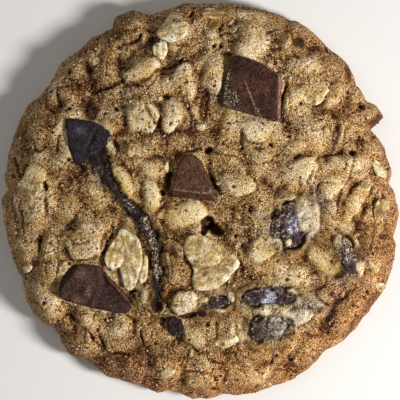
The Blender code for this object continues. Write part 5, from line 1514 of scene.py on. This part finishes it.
def baked_dough_finish():
    """Baked oat dough, browned in the oven: sandy sugared crumb, tan on top, toffee brown with painted
    shade in creases.

    Flour is finer than a pixel, so its sand is drawn at about a quarter of a millimetre to show.
    """
    made, tree, shader, place = new_finish("baked_oat_dough")
    shade, tone, bare, cocoa, browning, ashen = (
        add(tree, "Attribute", attribute_name=name).outputs["Fac"]
        for name in ("shade", "tone", "bare", "cocoa", "browning", "ashen")
    )

    # Clumps of meal of about a millimetre, flour, and sugar crystals.
    grit = add(tree, "TexNoise", pattern(place, 0.9, Detail=4.0, Roughness=0.7))
    fine = add(tree, "TexNoise", pattern(place, 0.22, Detail=0.0))
    sand = add(tree, "TexVoronoi", pattern(place, 0.27))
    tint = sand.outputs["Color"]

    # How deep and dark the crumb is: creases are, toffee browned and with painted shade, pale lumps
    # aren't, and each grain differs.
    depth = weighed(tree, shade, (grit, 0.5, 0.2), (tone, 0.5, -0.36))
    calm = weighed(tree, 1.5, (depth, 0, -2.6), clamp=True)
    calm = add(tree, "Math", (calm, bare), operation="MAXIMUM")
    grain = weighed(tree, 0.0, (fine, 0.5, 8.5), (tint, 0.5, 2.4))
    for share in (weighed(tree, 0.95, (calm, 0, -0.25)), weighed(tree, 1.0, (bare, 0, -0.45))):
        grain = add(tree, "Math", (grain, share), operation="MULTIPLY")
    # Pinholes, painted dark as the shade inside them.
    prick = pricked(tree, place, 0.8, 9.0, 2.6, 0.62)
    depth = weighed(tree, depth, (grain, 0, -0.13), (prick, 0, 0.5), (bare, 0, -0.06), clamp=True)

    # The top's crumb, and the redder crust of the browned rim and side.
    crumb = add(tree, "ValToRGB", (depth,), stops=(
        (0.0, "#F0DEC2"), (0.2, "#CFB187"), (0.4, "#A5814C"), (0.6, "#785022"), (0.8, "#4F2A09"),
        (1.0, "#2A1002"),
    ))
    crust = add(tree, "ValToRGB", (depth,), stops=(
        (0.0, "#F0D2AA"), (0.2, "#D0A46F"), (0.4, "#A8753E"), (0.6, "#7C4A1C"), (0.8, "#522809"),
        (1.0, "#2A1002"),
    ))
    patch = add(tree, "TexNoise", pattern(place, 8.0, Detail=2.0, Roughness=0.6))
    browned = weighed(tree, -2.5, (browning, 0, 3.2), (patch, 0.5, 1.4), clamp=True)
    colour = add(tree, "Mix", (browned, crumb, crust), data_type="RGBA")

    # Greyed where sugar and grease lie and where sheen is painted beside the pools, straw where an oat is
    # bare, and butter in patches.
    cloud = add(tree, "TexNoise", pattern(place, 5.5, Detail=3.0, Roughness=0.6))
    grey = add(tree, "Math", (weighed(tree, 0.0, (cloud, 0.5, 1.6)), ashen), operation="MAXIMUM")
    grey = weighed(tree, 0.0, (grey, 0, 0.8), clamp=True)
    sugared = add(tree, "ValToRGB", (depth,), stops=(
        (0.0, "#F1E8DA"), (0.25, "#C9BCAC"), (0.5, "#94826F"), (0.75, "#5C4638"), (1.0, "#2A1910"),
    ))
    colour = add(tree, "Mix", (grey, colour, sugared), data_type="RGBA")
    straw = add(tree, "ValToRGB", (depth,), stops=(
        (0.0, "#F4E4BC"), (0.2, "#D8BB7F"), (0.4, "#B4904F"), (0.6, "#835924"), (0.9, "#462408"),
    ))
    colour = add(tree, "Mix", (weighed(tree, 0.0, (bare, 0, 0.8)), colour, straw), data_type="RGBA")
    colour = buttered(tree, place, colour, "#E8D17A", 4.5, 3.2, 0.3, 0.2, 0.55)

    # Each grain's own lightness, and specks of chocolate rubbed in, also dark where shadow is painted in
    # the centre chunk's gaps.
    colour = grainy(tree, colour, grain, 0.10)
    colour = sprinkled(tree, colour, weighed(tree, 0.0, (grain, 0, 0.18)))
    dark = add(tree, "ValToRGB", (grit,), stops=((0.35, "#160A06"), (0.55, "#321D14"), (0.75, "#5C4436")))
    colour = add(tree, "Mix", (mottled(tree, cocoa, fine, tint), colour, dark), data_type="RGBA")

    # Sugar crystals glint among dull crumb.
    glint = weighed(tree, -3.3, (tint, 0, 5.0), clamp=True)
    raised = add(tree, "Math", (1.0, sand), operation="SUBTRACT")
    surfaced(tree, shader, ((grit, 1.0, 0.3), (raised, 1.0, 0.13), (fine, 1.0, 0.15)), {
        "Base Color": colour, "Roughness": weighed(tree, 0.66, (glint, 0, -0.34)),
        "Specular IOR Level": weighed(tree, 0.1, (glint, 0, 0.9)), "IOR": 1.47,
    })
    return made


def rolled_oat_finish():
    """Rolled oat bran, flattened and toasted: dry, dull and straw yellow, finely mottled and pricked."""
    made, tree, shader, place = new_finish("toasted_rolled_oat")

    # Bran in flecks of half a millimetre, and blotches where the flattened grain is starchy.
    flecks = add(tree, "TexNoise", pattern(place, 0.55, Detail=4.0, Roughness=0.7))
    blotch = add(tree, "TexNoise", pattern(place, 2.0, Detail=3.0, Roughness=0.6))
    tint = add(tree, "TexVoronoi", pattern(place, 0.34)).outputs["Color"]
    tone = add(tree, "Attribute", attribute_name="tone").outputs["Fac"]
    pale = weighed(tree, tone, (flecks, 0.5, 0.9), (blotch, 0.5, 1.8), clamp=True)
    colour = add(tree, "ValToRGB", (pale,), stops=(
        (0.0, "#513716"), (0.3, "#846438"), (0.55, "#B09262"), (0.8, "#D0BA90"), (1.0, "#EDE2C8"),
    ))
    colour = buttered(tree, place, colour, "#EADFA6", 3.0, 4.5, 0.5, 0.0, 0.65)
    fine = add(tree, "TexNoise", pattern(place, 0.22, Detail=0.0))
    # Pinholes, painted dark as the shade inside them.
    prick = pricked(tree, place, 1.1, 7.0, 2.4, 0.7)
    grain = weighed(tree, 0.0, (fine, 0.5, 6.0), (tint, 0.5, 1.2), (prick, 0, -2.2))
    surfaced(tree, shader, ((flecks, 1.0, 0.3),), {
        "Base Color": grainy(tree, colour, grain, 0.3, 1.1), "Roughness": 0.62, "IOR": 1.45,
    })
    return made


def chocolate_finish(name, deep, plain, bloomed, roughness):
    """Dark chocolate, snapped or melted: satin dark brown, dusty where its fat blooms, with painted
    highlights and sheen and specks of crumb on it.
    """
    made, tree, shader, place = new_finish(name)
    bloom, crumb = (
        add(tree, "Attribute", attribute_name=name).outputs["Fac"] for name in ("bloom", "crumb")
    )

    # Clouds of bloom a few millimetres wide, scuffs, and crumbs as fine as a pixel.
    cloud = add(tree, "TexNoise", pattern(place, 2.5, Detail=4.0, Roughness=0.6))
    fine = add(tree, "TexNoise", pattern(place, 0.30, Detail=2.0, Roughness=0.6))
    tint = add(tree, "TexVoronoi", pattern(place, 0.3)).outputs["Color"]
    # Paleness from the point values: blooming and painted light, where painted highlights and sheen make
    # it pale and painted shade makes it dark.
    pale = weighed(tree, bloom, (cloud, 0.5, 0.7), (fine, 0.5, 1.4), clamp=True)
    colour = add(tree, "ValToRGB", (pale,), stops=((0.0, deep), (0.6, plain), (1.0, bloomed)))
    finest = add(tree, "TexNoise", pattern(place, 0.2, Detail=0.0))
    grain = weighed(tree, 0.0, (finest, 0.5, 5.0), (tint, 0.5, 0.8))
    colour = grainy(tree, colour, grain, 0.8)
    specks = add(tree, "ValToRGB", (tint,), stops=(
        (0.2, "#382316"), (0.4, "#664A33"), (0.62, "#947A5E"), (0.88, "#DCCDB8"),
    ))
    dusted = mottled(tree, crumb, fine, tint)
    raised = add(tree, "Math", (dusted, tint), operation="MULTIPLY")
    surfaced(tree, shader, ((cloud, 0.8, 0.45), (raised, 1.0, 0.3), (fine, 1.0, 0.2)), {
        "Base Color": add(tree, "Mix", (dusted, colour, specks), data_type="RGBA"),
        "Roughness": weighed(tree, roughness - 0.15, (cloud, 0, 0.3)),
        "IOR": 1.47, "Specular IOR Level": 0.2,
    })
    return made


# ---------------------------------------------------------------- stage


def build_stage():
    """A pale floor, a soft key from the right, a soft fill over it, and the camera straight above."""
    floor_finish, tree, shader, _ = new_finish("pale_floor")
    feed(tree, shader, {"Base Color": linear("#E8E6E2"), "Roughness": 0.8})
    half = FLOOR_HALF
    corners = [(-half, -half, 0), (half, -half, 0), (half, half, 0), (-half, half, 0)]
    floor = write_mesh("floor", corners, [(0, 1, 2, 3)], floor_finish, smooth=False)
    for name, (azimuth, elevation, distance, size, power) in LIGHTS.items():
        light = bpy.data.lights.new(name, "AREA")
        light.shape = "DISK"
        light.size = size
        light.energy = power
        holder = bpy.data.objects.new(name, light)
        a, e = math.radians(azimuth), math.radians(elevation)
        back = np.array((math.cos(a) * math.cos(e), math.sin(a) * math.cos(e), math.sin(e)))
        holder.location = back * distance
        holder.rotation_euler = (math.pi / 2 - e, 0.0, a + math.pi / 2)
        bpy.context.scene.collection.objects.link(holder)
    world = bpy.data.worlds.new("studio")
    world.use_nodes = True
    background = world.node_tree.nodes["Background"]
    feed(world.node_tree, background, {"Color": linear("#F6F2EC"), "Strength": DAYLIGHT})
    bpy.context.scene.world = world
    bpy.context.scene.view_settings.view_transform = "Standard"
    camera = bpy.data.cameras.new("camera")
    camera.sensor_width = SENSOR_WIDTH
    camera.lens = SENSOR_WIDTH * (CAMERA_DISTANCE - WIDEST_HEIGHT * MM) / (FRAME_WIDTH * MM)
    holder = bpy.data.objects.new("camera", camera)
    holder.location = (0.0, 0.0, CAMERA_DISTANCE)
    bpy.context.scene.collection.objects.link(holder)
    bpy.context.scene.camera = holder


dough_finish = baked_dough_finish()
oat_finish = rolled_oat_finish()
dough, ground = dough_piece(dough_finish)
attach(dough, "root")
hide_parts("cookie_dough")
for piece in (
    flake_shells("bare_oat_flakes", BARE_FLAKES, FLAKE_SIDES, oat_finish, ground, 3),
    flake_shells("middle_oat_flakes", MIDDLE_FLAKES, FLAKE_SIDES, oat_finish, ground, 8),
    flake_shells("bedded_oat_flakes", BEDDED_FLAKES, FLAKE_SIDES, oat_finish, ground, 12),
    flake_shells("broken_oat_bits", oat_bits(5), BIT_SIDES, oat_finish, ground, 4),
    crumb_piece(dough_finish, ground, 6),
):
    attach(piece, "root")
for chunk, chocolate in CHUNK_CHOCOLATE.items():
    chunk_piece(chunk, chocolate_finish(*chocolate))
glossy_finish = chocolate_finish(*GLOSSY_CHOCOLATE)
dust_and_sheen_finish = chocolate_finish(*DUST_AND_SHEEN_CHOCOLATE)
for number, pool in enumerate(POOLS):
    pool_piece(pool, dust_and_sheen_finish if pool == DUST_AND_SHEEN_POOL else glossy_finish, 200 + 20 * number)
streak_piece(chocolate_finish(*STREAK_CHOCOLATE))
build_stage()
